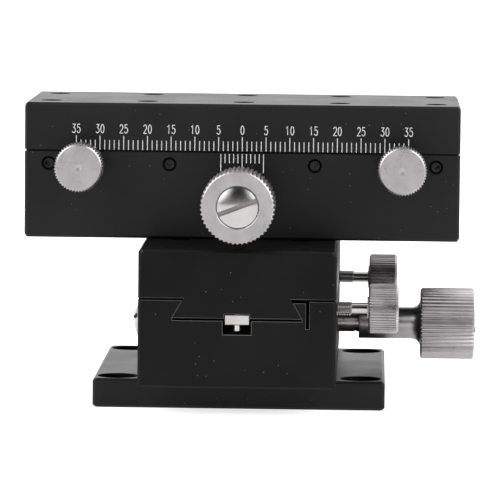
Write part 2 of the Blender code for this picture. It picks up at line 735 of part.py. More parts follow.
def make_gib_screws(prefix, dark_steel, stage):
    """The set screws that push the thin gib wall towards the table's dovetail."""
    tip = GIB_SLIT_START + GAP
    rim = HALF_WIDTH - GIB_SCREW_RECESS
    socket = hexagon(GIB_SCREW_SOCKET, SMALL)
    outline = [
        (tip, 0),
        (tip, M3_RADIUS),
        (rim, M3_RADIUS),
        (rim, socket),
        (rim - GIB_SCREW_SOCKET_DEPTH, socket),
        (rim - GIB_SCREW_SOCKET_DEPTH, 0),
    ]
    level = BASE_HEIGHT - GIB_SCREW_DEPTH
    for number, y in enumerate(GIB_SCREW_PLACES, 1):
        screw = turned("gib_screw", outline, SMALL)
        add_piece(f"{prefix}_gib_screw_{number}", screw, dark_steel, stage, (0.0, y, level))


def make_clamps(prefix, steel, brass, stage):
    """The hand clamps: a pad that bears on the gib, a threaded stud behind it and a knurled knob."""
    level = BASE_HEIGHT - GIB_SCREW_DEPTH
    pad_start = GIB_SLIT_START + GAP
    pad_end = pad_start + CLAMP_PAD_LENGTH
    pad_outline = [(pad_start, 0), (pad_start, M3_RADIUS), (pad_end, M3_RADIUS), (pad_end, 0)]
    bore_end = HALF_WIDTH + CLAMP_KNOB_START + CLAMP_BORE_DEPTH
    stud_outline = [
        (pad_end + GAP, 0),
        (pad_end + GAP, M3_RADIUS),
        (HALF_WIDTH + CLAMP_THREAD_END, M3_RADIUS),
        (HALF_WIDTH + CLAMP_THREAD_END, CLAMP_NECK_RADIUS),
        (bore_end - GAP, CLAMP_NECK_RADIUS),
        (bore_end - GAP, 0),
    ]
    knob_outline = [
        (bore_end, 0),
        (bore_end, CLAMP_NECK_RADIUS + GAP),
        (HALF_WIDTH + CLAMP_KNOB_START, CLAMP_NECK_RADIUS + GAP),
        (HALF_WIDTH + CLAMP_KNOB_START, CLAMP_BOSS_RADIUS),
        (HALF_WIDTH + CLAMP_HEAD_START, CLAMP_BOSS_RADIUS),
        (HALF_WIDTH + CLAMP_HEAD_START, CLAMP_RADIUS - CLAMP_CHAMFER),
        (HALF_WIDTH + CLAMP_HEAD_START + CLAMP_CHAMFER, CLAMP_RADIUS),
        (HALF_WIDTH + CLAMP_END - CLAMP_CHAMFER, CLAMP_RADIUS),
        (HALF_WIDTH + CLAMP_END, CLAMP_RADIUS - CLAMP_CHAMFER),
        (HALF_WIDTH + CLAMP_END, 0),
    ]
    for number, y in enumerate(CLAMP_PLACES, 1):
        place = (0.0, y, level)
        name = f"{prefix}_clamp_{number}"
        add_piece(f"{name}_pad", turned("pad", pad_outline, SMALL), brass, stage, place)
        add_piece(f"{name}_stud", turned("stud", stud_outline, SMALL), steel, stage, place)
        add_piece(f"{name}_knob", turned("clamp_knob", knob_outline, FINE // 2), steel, stage, place)


def make_stage_screws(dark_steel, stage, places):
    """The socket head screws that hold the upper base to the lower table."""
    seat = STAGE_SCREW_SEAT + GAP
    top = seat + STAGE_SCREW_HEAD_HEIGHT
    tip = -STAGE_SCREW_REACH
    shank = M4_RADIUS - GAP
    socket = hexagon(STAGE_SCREW_SOCKET, SMALL)
    outline = [
        (tip, 0),
        (tip, shank),
        (seat, shank),
        (seat, STAGE_SCREW_HEAD_RADIUS),
        (top, STAGE_SCREW_HEAD_RADIUS),
        (top, socket),
        (top - STAGE_SCREW_SOCKET_DEPTH, socket),
        (top - STAGE_SCREW_SOCKET_DEPTH, 0),
    ]
    for number, (x, y) in enumerate(places, 1):
        screw = turned("stage_screw", outline, SMALL)
        add_piece(f"stage_screw_{number}", screw, dark_steel, stage, (x, y, 0.0), UPWARD)


def make_slide(prefix, level, turn, finishes, screw_places, screw_depth, through, parent=None):
    """One complete slide. Returns its stage frame and the frame of its moving table."""
    black, steel, dark_steel, brass = finishes
    stage = make_empty(f"{prefix}_stage", (0.0, 0.0, level), turn, parent)
    carriage = make_empty(f"{prefix}_carriage", (0.0, 0.0, 0.0), 0.0, stage)
    make_base(prefix, black, stage, screw_places, screw_depth, through)
    make_table(prefix, black, carriage)
    make_rack(prefix, steel, carriage)
    make_rack_fittings(prefix, steel, carriage)
    make_pinion_shaft(prefix, steel, stage)
    make_bushes(prefix, brass, stage)
    make_end_screw(prefix, steel, stage)
    make_knob(prefix, steel, stage)
    make_gib_screws(prefix, dark_steel, stage)
    make_clamps(prefix, steel, brass, stage)
    return stage, carriage


def main():
    clear_scene()
    black = make_material("black_anodised", (0.016, 0.016, 0.018), 0.6, 0.42)
    steel = make_material("nickel_steel", (0.46, 0.44, 0.43), 1.0, 0.28)
    dark_steel = make_material("black_oxide_steel", (0.03, 0.03, 0.032), 0.8, 0.45)
    brass = make_material("brass", (0.58, 0.42, 0.18), 1.0, 0.35)
    finishes = (black, steel, dark_steel, brass)
    ground = make_empty("ground", (0.0, 0.0, 0.0))
    make_base_plate(black, dark_steel, ground)
    lower_level = PLATE_THICKNESS
    _, y_carriage = make_slide(
        "y", lower_level, 0.0, finishes, PLATE_SCREW_PLACES, PLATE_SCREW_REACH, False, ground
    )
    screw_row = TABLE_SCREW_COLUMN * GRID_PITCH
    screws = [(-screw_row, x) for x in GRID_ROWS]
    x_stage, _ = make_slide(
        "x", STAGE_HEIGHT, -math.pi / 2, finishes, screws, STAGE_SCREW_REACH, True, y_carriage
    )
    make_stage_screws(dark_steel, x_stage, screws)


main()
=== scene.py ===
import math

import bmesh
import bpy
from mathutils import Matrix, Vector


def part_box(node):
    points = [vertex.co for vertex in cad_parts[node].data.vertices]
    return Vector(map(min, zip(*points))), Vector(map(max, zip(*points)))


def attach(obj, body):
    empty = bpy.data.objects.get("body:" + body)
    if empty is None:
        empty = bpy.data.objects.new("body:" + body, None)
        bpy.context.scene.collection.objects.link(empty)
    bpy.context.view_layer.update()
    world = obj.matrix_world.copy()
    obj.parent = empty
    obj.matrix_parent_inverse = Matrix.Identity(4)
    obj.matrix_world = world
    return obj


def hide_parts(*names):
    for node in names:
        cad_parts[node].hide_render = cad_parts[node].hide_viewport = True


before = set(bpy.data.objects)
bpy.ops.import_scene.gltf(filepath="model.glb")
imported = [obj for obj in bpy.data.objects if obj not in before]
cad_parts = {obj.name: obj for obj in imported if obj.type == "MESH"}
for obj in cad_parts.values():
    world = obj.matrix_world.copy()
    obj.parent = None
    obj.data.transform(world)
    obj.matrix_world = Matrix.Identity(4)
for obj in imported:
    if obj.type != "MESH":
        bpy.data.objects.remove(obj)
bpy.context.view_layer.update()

MM = 0.001

# ---- Sizes read from the frame ----

# The two slides are alike: sizes come from the lower one, and heights start at the plate's top.
PLATE_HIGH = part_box("base_plate")[1]
Y_BASE_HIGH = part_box("y_base")[1]
Y_TABLE_LOW, Y_TABLE_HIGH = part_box("y_table")
LEVELS = {"y": PLATE_HIGH.z, "x": Y_TABLE_HIGH.z}
TURNS = {"y": 0.0, "x": -math.pi / 2}
HALF_LENGTH = Y_BASE_HIGH.y
HALF_WIDTH = Y_BASE_HIGH.x
DECK = Y_BASE_HIGH.z - PLATE_HIGH.z
FOOT = 0.02 * MM
TOP = Y_TABLE_HIGH.z - PLATE_HIGH.z
KEEL = Y_TABLE_LOW.z - PLATE_HIGH.z
PLATE_SIDE = 2 * PLATE_HIGH.x
PLATE_THICKNESS = PLATE_HIGH.z
PINION_HEIGHT = (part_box("y_pinion_shaft")[0].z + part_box("y_pinion_shaft")[1].z) / 2 - PLATE_HIGH.z
SCREW_LEVEL = (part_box("y_clamp_1_stud")[0].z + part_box("y_clamp_1_stud")[1].z) / 2 - PLATE_HIGH.z
CLAMP_PLACES = [(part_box(f"y_clamp_{n}_stud")[0].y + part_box(f"y_clamp_{n}_stud")[1].y) / 2 for n in (1, 2)]
GIB_PLACES = [
    (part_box(f"y_gib_screw_{n}")[0].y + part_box(f"y_gib_screw_{n}")[1].y) / 2 for n in (1, 2, 3, 4)
]
KNOB_LOW, KNOB_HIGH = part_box("y_knob")
CLAMP_LOW, CLAMP_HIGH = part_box("y_clamp_1_knob")
STUD_LOW, STUD_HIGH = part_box("y_clamp_1_stud")
PAD_LOW, PAD_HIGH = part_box("y_clamp_1_pad")

# ---- Sizes that the frame's boxes don't tell ----

GAP = 0.3 * MM  # the clearance that the CAD keeps between pieces
DECK_GAP = 0.07 * MM  # under a table
CHAMFER = 0.5 * MM
DECK_CHAMFER = 0.2 * MM
SLOPE = math.tan(math.radians(30))
DOVETAIL_HALF = 10.9 * MM
GROOVE_CLEAR = 0.058 * MM
GROOVE_DEPTH = 4.25 * MM
RACK_GROOVE_DEPTH = 7.05 * MM
RACK_GROOVE_HALF = 2.9 * MM
RACK_HALF = 2.5 * MM
RACK_TOP_DEPTH = 2.9 * MM
RACK_END_DEPTH = 5.15 * MM
RACK_TOP_GAP = 0.15 * MM
RACK_INSET = 0.7 * MM
PIN_GAP = 0.02 * MM
MODULE = 0.5 * MM
TEETH = 12
PRESSURE = math.radians(20)  # the pressure angle of rack and pinion
BACKLASH = 0.16 * MM
RACK_ADDENDUM = 0.4 * MM
RACK_DEDENDUM = 0.62 * MM
TRAVEL = 35 * MM
SLIT_START = 13.88 * MM
SLIT_WIDTH = 0.7 * MM
SLIT_DEPTH = 5.7 * MM
GIB_DROP = 0.5 * MM
GRID_PITCH = 20 * MM
GRID_ROW = 12.5 * MM
GRID_DEPTH = 8 * MM
PLATE_HOLE = 2.25 * MM
PLATE_COUNTERBORE = 4.0 * MM
COUNTERBORE_DEPTH = 4.3 * MM
PLATE_HOLE_INSET = 5 * MM
PLATE_SCREW_ROW = 20 * MM
PLATE_SCREW_HOLE = 2.1 * MM
PLATE_SCREW_SINK = 4.2 * MM
M4 = 2.0 * MM
M4_PITCH = 0.7 * MM
M3 = 1.5 * MM
M3_PITCH = 0.5 * MM
MOUTH = 0.25 * MM
EDGE = 0.07 * MM
FLAT_ANGLE = 18  # degrees; keeps a worn edge from shading the flat face beside it
OVER = 0.5 * MM  # how far a cutter reaches past a surface
EDGE_REACH = 1.6 * EDGE  # the narrowest side of a worn edge's face is under this
SIDE_HOLE = 1.27 * MM  # for gib screws and clamps
BORE = 3.8 * MM  # for the pinion shaft and its bushes
SHAFT = 2.0 * MM
SCREW_SHANK_HOLE = 2.3 * MM
SLOT_TURN = math.radians(21)  # of the screwdriver slots
KNURL_TEETH = 50
KNURL_FLAT = 24  # degrees, between a knurl's smooth-shaded faces at most
FINE = 48  # segments round small turned pieces
SEGMENTS = 64


# ---- Mesh tools ----


def finish_mesh(shape, name, smooth_angle=30):
    bmesh.ops.recalc_face_normals(shape, faces=shape.faces)
    mesh = bpy.data.meshes.new(name)
    shape.to_mesh(mesh)
    shape.free()
    mesh.shade_smooth()
    mesh.set_sharp_from_angle(angle=math.radians(smooth_angle))
    return mesh


def loft(name, sections):
    """A closed mesh through sections that have the same number of points."""
    shape = bmesh.new()
    rings = [[shape.verts.new(point) for point in section] for section in sections]
    for near, far in zip(rings, rings[1:]):
        for index in range(len(near)):
            following = (index + 1) % len(near)
            shape.faces.new((near[index], near[following], far[following], far[index]))
    shape.faces.new(rings[0])
    shape.faces.new(rings[-1])
    return finish_mesh(shape, name, FLAT_ANGLE)


def ring_angles(count):
    return [2 * math.pi * index / count for index in range(count)]


def softened(outline, closed=False, steps=3):
    """Rounds the corners of (along, radius, fillet) points; a point without a fillet stays sharp."""
    points = []
    count = len(outline)
    for index, point in enumerate(outline):
        here = Vector(point[:2])
        fillet = point[2] if len(point) > 2 else 0.0
        if not fillet or (not closed and index in (0, count - 1)):
            points.append(tuple(here))
            continue
        before = Vector(outline[index - 1][:2]) - here
        after = Vector(outline[(index + 1) % count][:2]) - here
        reach = min(fillet, before.length * 0.45, after.length * 0.45)
        start = here + before.normalized() * reach
        end = here + after.normalized() * reach
        for step in range(steps + 1):
            share = step / steps
            blend = start * (1 - share) ** 2 + here * 2 * share * (1 - share) + end * share**2
            points.append(tuple(blend))
    return points


def turned(name, outline, count=SEGMENTS, angles=None, smooth_angle=30):
    """Turns (along, radius) points about X; a radius can be a list with one value for each angle."""
    angles = angles or ring_angles(count)
    shape = bmesh.new()
    rings = []
    for along, radius in outline:
        if not isinstance(radius, list) and radius < 1e-7:
            rings.append([shape.verts.new((along, 0.0, 0.0))])
            continue
        radii = radius if isinstance(radius, list) else [radius] * len(angles)
        rings.append(
            [shape.verts.new((along, r * math.cos(a), r * math.sin(a))) for r, a in zip(radii, angles)]
        )
    followers = rings[1:] if len(rings[0]) == 1 else rings[1:] + rings[:1]
    for near, far in zip(rings, followers):
        for index in range(len(angles)):
            following = (index + 1) % len(angles)
            corners = [near[index % len(near)], near[following % len(near)]]
            corners += [far[following % len(far)], far[index % len(far)]]
            shape.faces.new(list(dict.fromkeys(corners)))
    return finish_mesh(shape, name, smooth_angle)


def repeated(name, mesh, matrices):
    """One mesh with a copy of the given one at each place."""
    shape = bmesh.new()
    for matrix in matrices:
        copy = mesh.copy()
        copy.transform(matrix)
        shape.from_mesh(copy)
        bpy.data.meshes.remove(copy)
    return finish_mesh(shape, name)


def upright(x, y, z=0.0):
    """Stands a turned piece up along Z."""
    return Matrix.Translation((x, y, z)) @ Matrix.Rotation(-math.pi / 2, 4, "Y")


def sideways(x, y, z):
    return Matrix.Translation((x, y, z))


def stage_matrix(prefix):
    return Matrix.Translation((0.0, 0.0, LEVELS[prefix])) @ Matrix.Rotation(TURNS[prefix], 4, "Z")


def cut_mesh(mesh, cutters):
    """A new mesh: the given one less each cutter. Cut faces take its third material, if it has three."""
    for cutter in cutters:
        # Cut faces take the third material, which darkens holes and slots as painted shade.
        add_materials(cutter, [BLACK, EDGE_WEAR_AND_HIGHLIGHT, PAINTED_SHADE_BLACK])
        for polygon in cutter.polygons:
            polygon.material_index = 2
    target = bpy.data.objects.new("cut_target", mesh)
    bpy.context.scene.collection.objects.link(target)
    helpers = []
    for index, cutter in enumerate(cutters):
        helper = bpy.data.objects.new(f"cutter_{index}", cutter)
        bpy.context.scene.collection.objects.link(helper)
        helpers.append(helper)
        boolean = target.modifiers.new(helper.name, "BOOLEAN")
        boolean.operation = "DIFFERENCE"
        boolean.object = helper
    bpy.context.view_layer.update()
    graph = bpy.context.evaluated_depsgraph_get()
    result = bpy.data.meshes.new_from_object(target.evaluated_get(graph))
    for item in [target] + helpers:
        bpy.data.objects.remove(item, do_unlink=True)
    result.shade_smooth()
    result.set_sharp_from_angle(angle=math.radians(FLAT_ANGLE))
    return result


def add_materials(mesh, materials):
    for material in materials:
        mesh.materials.append(material)


def add_piece(name, mesh, materials, body, nodes, prefix=None, local=None):
    """Adds a visible piece, placed in the stage with this prefix, in the stead of these CAD nodes."""
    piece = bpy.data.objects.new(name, mesh)
    bpy.context.scene.collection.objects.link(piece)
    add_materials(mesh, materials)
    piece.matrix_world = (stage_matrix(prefix) if prefix else Matrix()) @ (local or Matrix())
    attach(piece, body)
    if nodes:
        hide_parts(*nodes)
    return piece


def hexagon(half_flats, count=SEGMENTS):
    """Radii of a hexagonal socket."""
    sixth = math.pi / 3
    return [half_flats / math.cos((angle + sixth / 2) % sixth - sixth / 2) for angle in ring_angles(count)]


def knurl(teeth, crest, depth):
    """Angles and radii of a straight knurl, four points to a tooth."""
    angles = []
    radii = []
    for tooth in range(teeth):
        for share, radius in ((0.0, crest - depth), (0.18, crest - depth), (0.44, crest), (0.74, crest)):
            angles.append(2 * math.pi * (tooth + share) / teeth)
            radii.append(radius)
    return angles, radii


def capped(radii, cap):
    """A knurl's radii where a bevel cuts its crests."""
    return [min(radius, cap) for radius in radii]


def thread(start, end, crest, pitch, count, steps=8):
    """Outline points whose radii follow a helical thread."""
    root = crest - 0.6 * pitch
    total = round((end - start) / pitch * steps)
    points = []
    for step in range(total + 1):
        along = start + (end - start) * step / total
        radii = []
        for angle in ring_angles(count):
            phase = (along / pitch - angle / (2 * math.pi)) % 1.0
            radii.append(root + (crest - root) * (1 - abs(2 * phase - 1)))
        points.append((along, radii))
    return points


def dome(start, radius, height, steps=10):
    """Outline points of a spherical cap."""
    sphere = (radius**2 + height**2) / (2 * height)
    edge = math.asin(radius / sphere)
    centre = start + height - sphere
    points = []
    for step in range(steps):
        angle = edge * (1 - step / steps)
        points.append((centre + sphere * math.cos(angle), sphere * math.sin(angle)))
    return points + [(start + height, 0.0)]


# ---- Materials ----


class Shader:
    """A node material under construction, in the object's own coordinates."""

    def __init__(self, name, base, metallic, roughness):
        self.material = bpy.data.materials.new(name)
        self.material.use_nodes = True
        self.tree = self.material.node_tree
        self.surface = self.tree.nodes["Principled BSDF"]
        self.surface.inputs["Base Color"].default_value = (*base, 1.0)
        self.surface.inputs["Metallic"].default_value = metallic
        self.surface.inputs["Roughness"].default_value = roughness
        self.place = self.node("ShaderNodeTexCoord").outputs["Object"]

    def node(self, kind, **settings):
        node = self.tree.nodes.new(kind)
        for key, value in settings.items():
            setattr(node, key, value)
        return node

    def link(self, source, target):
        self.tree.links.new(source, target)

    def noise(self, scale, detail=3.0, roughness=0.55, stretch=None):
        node = self.node("ShaderNodeTexNoise")
        node.inputs["Scale"].default_value = scale
        node.inputs["Detail"].default_value = detail
        node.inputs["Roughness"].default_value = roughness
        if stretch:
            mapping = self.node("ShaderNodeMapping")
            mapping.inputs["Scale"].default_value = stretch
            self.link(self.place, mapping.inputs["Vector"])
            self.link(mapping.outputs["Vector"], node.inputs["Vector"])
        else:
            self.link(self.place, node.inputs["Vector"])
        return node.outputs["Fac"]

    def ramp(self, source, low, high, start=0.3, end=0.7):
        node = self.node("ShaderNodeMapRange")
        node.inputs["From Min"].default_value = start
        node.inputs["From Max"].default_value = end
        node.inputs["To Min"].default_value = low
        node.inputs["To Max"].default_value = high
        self.link(source, node.inputs["Value"])
        return node.outputs["Result"]

    def math(self, operation, first, second=None):
        node = self.node("ShaderNodeMath", operation=operation)
        for socket, value in zip(node.inputs, (first, second)):
            if isinstance(value, (int, float)):
                socket.default_value = value
            elif value is not None:
                self.link(value, socket)
        return node.outputs[0]

    def mix(self, factor, first, second):
        node = self.node("ShaderNodeMix", data_type="RGBA")
        for socket, value in ((node.inputs[0], factor), (node.inputs[6], first), (node.inputs[7], second)):
            if isinstance(value, tuple):
                socket.default_value = (*value, 1.0)
            elif isinstance(value, (int, float)):
                socket.default_value = value
            else:
                self.link(value, socket)
        return node.outputs[2]

    def bump(self, height, distance, strength=1.0):
        node = self.node("ShaderNodeBump")
        node.inputs["Strength"].default_value = strength
        node.inputs["Distance"].default_value = distance
        self.link(height, node.inputs["Height"])
        self.link(node.outputs["Normal"], self.surface.inputs["Normal"])

    def specks(self, scale, share, size):
        """1 on a few small dots, scattered by a Voronoi pattern."""
        cells = self.node("ShaderNodeTexVoronoi")
        cells.inputs["Scale"].default_value = scale
        self.link(self.place, cells.inputs["Vector"])
        near = self.math("LESS_THAN", cells.outputs["Distance"], size)
        chosen = self.node("ShaderNodeSeparateColor")
        self.link(cells.outputs["Color"], chosen.inputs["Color"])
        return self.math("MULTIPLY", near, self.math("LESS_THAN", chosen.outputs["Red"], share))


def anodised(name, dark, light, rough_low, rough_high, specks=0.4, shine=0.15):
    """Fine matt black anodising: a tight grain, a slow mottling and a few grains of dust."""
    shader = Shader(name, dark, 0.0, rough_low)
    grain = shader.noise(9000.0, 2.0)
    cloud = shader.noise(70.0, 3.0)
    colour = shader.mix(shader.ramp(cloud, 0.0, 1.0), dark, light)
    dust = shader.specks(600.0, specks, 0.06)
    shader.link(shader.mix(dust, colour, (0.075, 0.075, 0.073)), shader.surface.inputs["Base Color"])
    rough = shader.math("ADD", shader.ramp(cloud, rough_low, rough_high), shader.ramp(grain, -0.03, 0.03))
    shader.link(rough, shader.surface.inputs["Roughness"])
    shader.surface.inputs["Specular IOR Level"].default_value = shine
    shader.bump(shader.math("ADD", grain, shader.math("MULTIPLY", dust, 2.0)), 0.004 * MM, 0.6)
    return shader.material


def turned_metal(name, dark, light, roughness, ring_pitch, groove):
    """Turned metal: fine lathe rings round the piece's own X axis, over a faint mottling."""
    shader = Shader(name, light, 1.0, roughness)
    split = shader.node("ShaderNodeSeparateXYZ")
    shader.link(shader.place, split.inputs["Vector"])
    across = shader.math("MULTIPLY", split.outputs["Y"], split.outputs["Y"])
    up = shader.math("MULTIPLY", split.outputs["Z"], split.outputs["Z"])
    radius = shader.math("SQRT", shader.math("ADD", across, up))
    travel = shader.math("ADD", radius, split.outputs["X"])
    wobble = shader.math("MULTIPLY", shader.noise(1500.0), 0.05 * MM)
    turns = shader.math("MULTIPLY", shader.math("ADD", travel, wobble), math.tau / ring_pitch)
    rings = shader.math("SINE", turns)
    grain = shader.noise(5200.0, 3.0, 0.6)
    cloud = shader.noise(240.0, 4.0, 0.6)
    tone = shader.math("ADD", shader.ramp(cloud, 0.0, 0.7), shader.ramp(grain, 0.0, 0.3))
    shader.link(shader.mix(tone, dark, light), shader.surface.inputs["Base Color"])
    patches = shader.ramp(cloud, roughness * 0.85, roughness * 1.15)
    rough = shader.math("ADD", patches, shader.ramp(grain, -0.03, 0.04))
    shader.link(rough, shader.surface.inputs["Roughness"])
    height = shader.math("ADD", shader.math("MULTIPLY", rings, 0.4), grain)
    shader.bump(height, groove, 0.5)
    return shader.material


def paint(name, colour, shade):
    """White fill in engraved marks, thin and slightly uneven."""
    shader = Shader(name, colour, 0.0, 0.55)
    worn = shader.noise(2600.0, 3.0, 0.6)
    tone = shader.mix(shader.ramp(worn, 0.0, 1.0, 0.35, 0.6), shade, colour)
    shader.link(tone, shader.surface.inputs["Base Color"])
    shader.link(shader.ramp(worn, 0.5, 0.7), shader.surface.inputs["Roughness"])
    shader.bump(worn, 0.003 * MM, 0.4)
    return shader.material


BLACK = anodised(
    "anodised_black",
    dark=(0.0027, 0.0027, 0.0028),
    light=(0.0046, 0.0046, 0.0047),
    rough_low=0.34,
    rough_high=0.42,
)
# A darker, less shiny copy of the black for the lower slide: painted shade, with a few more dust grains.
LOW_BLACK_PAINTED_SHADE = anodised(
    "anodised_black_painted_shade",
    dark=(0.0018, 0.0018, 0.0019),
    light=(0.0032, 0.0032, 0.0033),
    rough_low=0.34,
    rough_high=0.42,
    specks=0.6,
    shine=0.08,
)
# Lighter and glossier black for worn edges: partly the worn anodise, partly painted highlight.
EDGE_WEAR_AND_HIGHLIGHT = anodised(
    "anodised_edge_wear_and_highlight",
    dark=(0.006, 0.006, 0.006),
    light=(0.11, 0.11, 0.108),
    rough_low=0.26,
    rough_high=0.36,
    specks=0.0,
)
# Darker and duller than the black: painted shade inside holes and on the lower slide's sides.
PAINTED_SHADE_BLACK = anodised(
    "anodised_hole_painted_shade",
    dark=(0.0018, 0.0018, 0.0019),
    light=(0.0030, 0.0030, 0.0031),
    rough_low=0.5,
    rough_high=0.6,
    specks=0.0,
    shine=0.03,
)
# The lower slide takes the painted-shade copy of the black.
BLACKS = {"y": LOW_BLACK_PAINTED_SHADE, "x": BLACK}
KNOB_STEEL = turned_metal(
    "knob_steel",
    dark=(0.25, 0.238, 0.242),
    light=(0.35, 0.337, 0.342),
    roughness=0.31,
    ring_pitch=0.09 * MM,
    groove=0.006 * MM,
)
SCREW_STEEL = turned_metal(
    "screw_steel",
    dark=(0.32, 0.315, 0.31),
    light=(0.40, 0.395, 0.39),
    roughness=0.14,
    ring_pitch=0.07 * MM,
    groove=0.0015 * MM,
)
# Darker steel for the slot's cut faces: painted shade in the slot.
SLOT_PAINTED_SHADE_STEEL = turned_metal(
    "slot_painted_shade_steel",
    dark=(0.15, 0.14, 0.135),
    light=(0.23, 0.215, 0.21),
    roughness=0.40,
    ring_pitch=0.07 * MM,
    groove=0.003 * MM,
)
RACK_STEEL = turned_metal(
    "rack_steel",
    dark=(0.33, 0.32, 0.315),
    light=(0.48, 0.465, 0.455),
    roughness=0.30,
    ring_pitch=0.12 * MM,
    groove=0.004 * MM,
)
OXIDE = turned_metal(
    "black_oxide",
    dark=(0.016, 0.016, 0.017),
    light=(0.032, 0.032, 0.033),
    roughness=0.34,
    ring_pitch=0.10 * MM,
    groove=0.004 * MM,
)
BRASS = turned_metal(
    "brass_turned",
    dark=(0.46, 0.31, 0.12),
    light=(0.62, 0.44, 0.19),
    roughness=0.30,
    ring_pitch=0.09 * MM,
    groove=0.004 * MM,
)
WHITE = paint("engraving_white", (0.40, 0.40, 0.395), (0.26, 0.26, 0.26))


def mark_edges(mesh, black):
    """The second material, lighter and glossier, on the narrow faces along worn edges: partly worn anodise,
    partly painted highlight. The third, darker and duller, on the low slide's sides as painted shade.
    """
    add_materials(mesh, [black, EDGE_WEAR_AND_HIGHLIGHT, PAINTED_SHADE_BLACK])
    points = [vertex.co for vertex in mesh.vertices]
    for polygon in mesh.polygons:
        ring = list(polygon.vertices)
        sides = [(points[a] - points[b]).length for a, b in zip(ring, ring[1:] + ring[:1])]
        # Narrow edge faces: lighter, as worn anodise and painted highlight.
        if len(ring) == 4 and min(sides) < EDGE_REACH:
            polygon.material_index = 1
        # The low slide's sides: darker and duller, as painted shade.
        elif black is LOW_BLACK_PAINTED_SHADE and abs(polygon.normal.x) > 0.9:
            polygon.material_index = 2
    return mesh


def moved_in(outline, distance):
    """The closed outline with each side moved inwards by this distance."""
    places = [Vector(point) for point in outline]
    count = len(places)
    area = sum(a.cross(b) for a, b in zip(places, places[1:] + places[:1]))
    turn = 1 if area > 0 else -1
    points = []
    for index, here in enumerate(places):
        into = (here - places[index - 1]).normalized()
        out = (places[(index + 1) % count] - here).normalized()
        first = Vector((-into.y, into.x)) * turn
        second = Vector((-out.y, out.x)) * turn
        middle = (first + second).normalized()
        points.append(tuple(here + middle * (distance / middle.dot(first))))
    return points


# ---- Flange plate ----


def plate_section(z, inset):
    reach = PLATE_SIDE / 2 - inset
    flat = reach - CHAMFER
    points = [(reach, -flat), (reach, flat), (flat, reach), (-flat, reach)]
    return [(x, y, z) for x, y in points + [(-x, -y) for x, y in points]]


def plate_holes(screws):
    """Cutters for the counterbored corner holes and the countersunk holes of the screws."""
    corner = PLATE_SIDE / 2 - PLATE_HOLE_INSET
    seat = PLATE_THICKNESS - COUNTERBORE_DEPTH
    hole = [
        (-OVER, 0.0),
        (-OVER, PLATE_HOLE + MOUTH + OVER),
        (MOUTH, PLATE_HOLE),
        (seat, PLATE_HOLE),
        (seat, PLATE_COUNTERBORE),
        (PLATE_THICKNESS - MOUTH, PLATE_COUNTERBORE),
        (PLATE_THICKNESS + OVER, PLATE_COUNTERBORE + MOUTH + OVER),
        (PLATE_THICKNESS + OVER, 0.0),
    ]
    corners = [upright(x, y) for x in (-corner, corner) for y in (-corner, corner)]
    passage = [
        (-OVER, 0.0),
        (-OVER, PLATE_SCREW_SINK + OVER),
        (PLATE_SCREW_SINK - PLATE_SCREW_HOLE, PLATE_SCREW_HOLE),
        (PLATE_THICKNESS + OVER, PLATE_SCREW_HOLE),
        (PLATE_THICKNESS + OVER, 0.0),
    ]
    corner_holes = repeated("holes", turned("hole", hole), corners)
    screw_holes = repeated("screw_holes", turned("passage", passage), [upright(x, y) for x, y in screws])
    return [corner_holes, screw_holes]


def make_plate():
    levels = [
        (0.0, CHAMFER),
        (CHAMFER, 0.0),
        (PLATE_THICKNESS - CHAMFER, 0.0),
        (PLATE_THICKNESS - CHAMFER + EDGE, EDGE),
        (PLATE_THICKNESS - EDGE / 3, CHAMFER - EDGE / 3),
        (PLATE_THICKNESS, CHAMFER + EDGE / 2),
    ]
    body = mark_edges(loft("plate", [plate_section(z, inset) for z, inset in levels]), BLACK)
    screws = [(x, y) for y in (-PLATE_SCREW_ROW, PLATE_SCREW_ROW) for x in (-GRID_ROW, GRID_ROW)]
    mesh = cut_mesh(body, plate_holes(screws))
    add_piece("flange_plate", mesh, [], "base", ["base_plate"])
    make_plate_screws(screws)


def make_plate_screws(screws):
    """Countersunk screws with hexagonal sockets, from below."""
    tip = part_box("plate_screw_1")[1].z
    face = 0.3 * MM
    shank = 1.7 * MM
    socket = hexagon(1.25 * MM)
    outline = [(face + 1.5 * MM, 0.0), (face + 1.5 * MM, socket), (face, socket)]
    outline += softened(
        [
            (face, 2.2 * MM),
            (face, 3.7 * MM, 0.15 * MM),
            (face + 2.0 * MM, shank),
            (tip, shank),
            (tip, 0.0),
        ]
    )
    for number, (x, y) in enumerate(screws, 1):
        node = f"plate_screw_{number}"
        mesh = turned(node, outline)
        add_piece(f"{node}_fine", mesh, [OXIDE], "base", [node], None, upright(x, y))


# ---- Blocks ----


def base_section(inset):
    """A base's end view as (x, z) points, moved in by the inset where its ends are chamfered."""
    drop = inset * DECK_CHAMFER / CHAMFER
    side = HALF_WIDTH - inset
    foot = FOOT + inset
    deck = DECK - drop
    floor = DECK - GROOVE_DEPTH
    bed = DECK - RACK_GROOVE_DEPTH
    gib = DECK - GIB_DROP
    relief = KEEL + DECK_GAP - GAP
    corner = DOVETAIL_HALF + (DECK - relief) * SLOPE + GROOVE_CLEAR
    gib_mouth = DOVETAIL_HALF + GIB_DROP * SLOPE + GROOVE_CLEAR
    mouth = DOVETAIL_HALF + drop * SLOPE + GROOVE_CLEAR
    return [
        (-side, foot + CHAMFER),
        (-side + CHAMFER, foot),
        (side - CHAMFER, foot),
        (side, foot + CHAMFER),
        (side, deck - DECK_CHAMFER),
        (side - DECK_CHAMFER, deck),
        (SLIT_START + SLIT_WIDTH, deck),
        (SLIT_START + SLIT_WIDTH, DECK - SLIT_DEPTH),
        (SLIT_START, DECK - SLIT_DEPTH),
        (SLIT_START, gib),
        (gib_mouth, gib),
        (corner, relief),
        (corner, floor),
        (RACK_GROOVE_HALF, floor),
        (RACK_GROOVE_HALF, bed),
        (-RACK_GROOVE_HALF, bed),
        (-RACK_GROOVE_HALF, floor),
        (-corner, floor),
        (-corner, relief),
        (-mouth, deck),
        (-side + DECK_CHAMFER, deck),
        (-side, deck - DECK_CHAMFER),
    ]


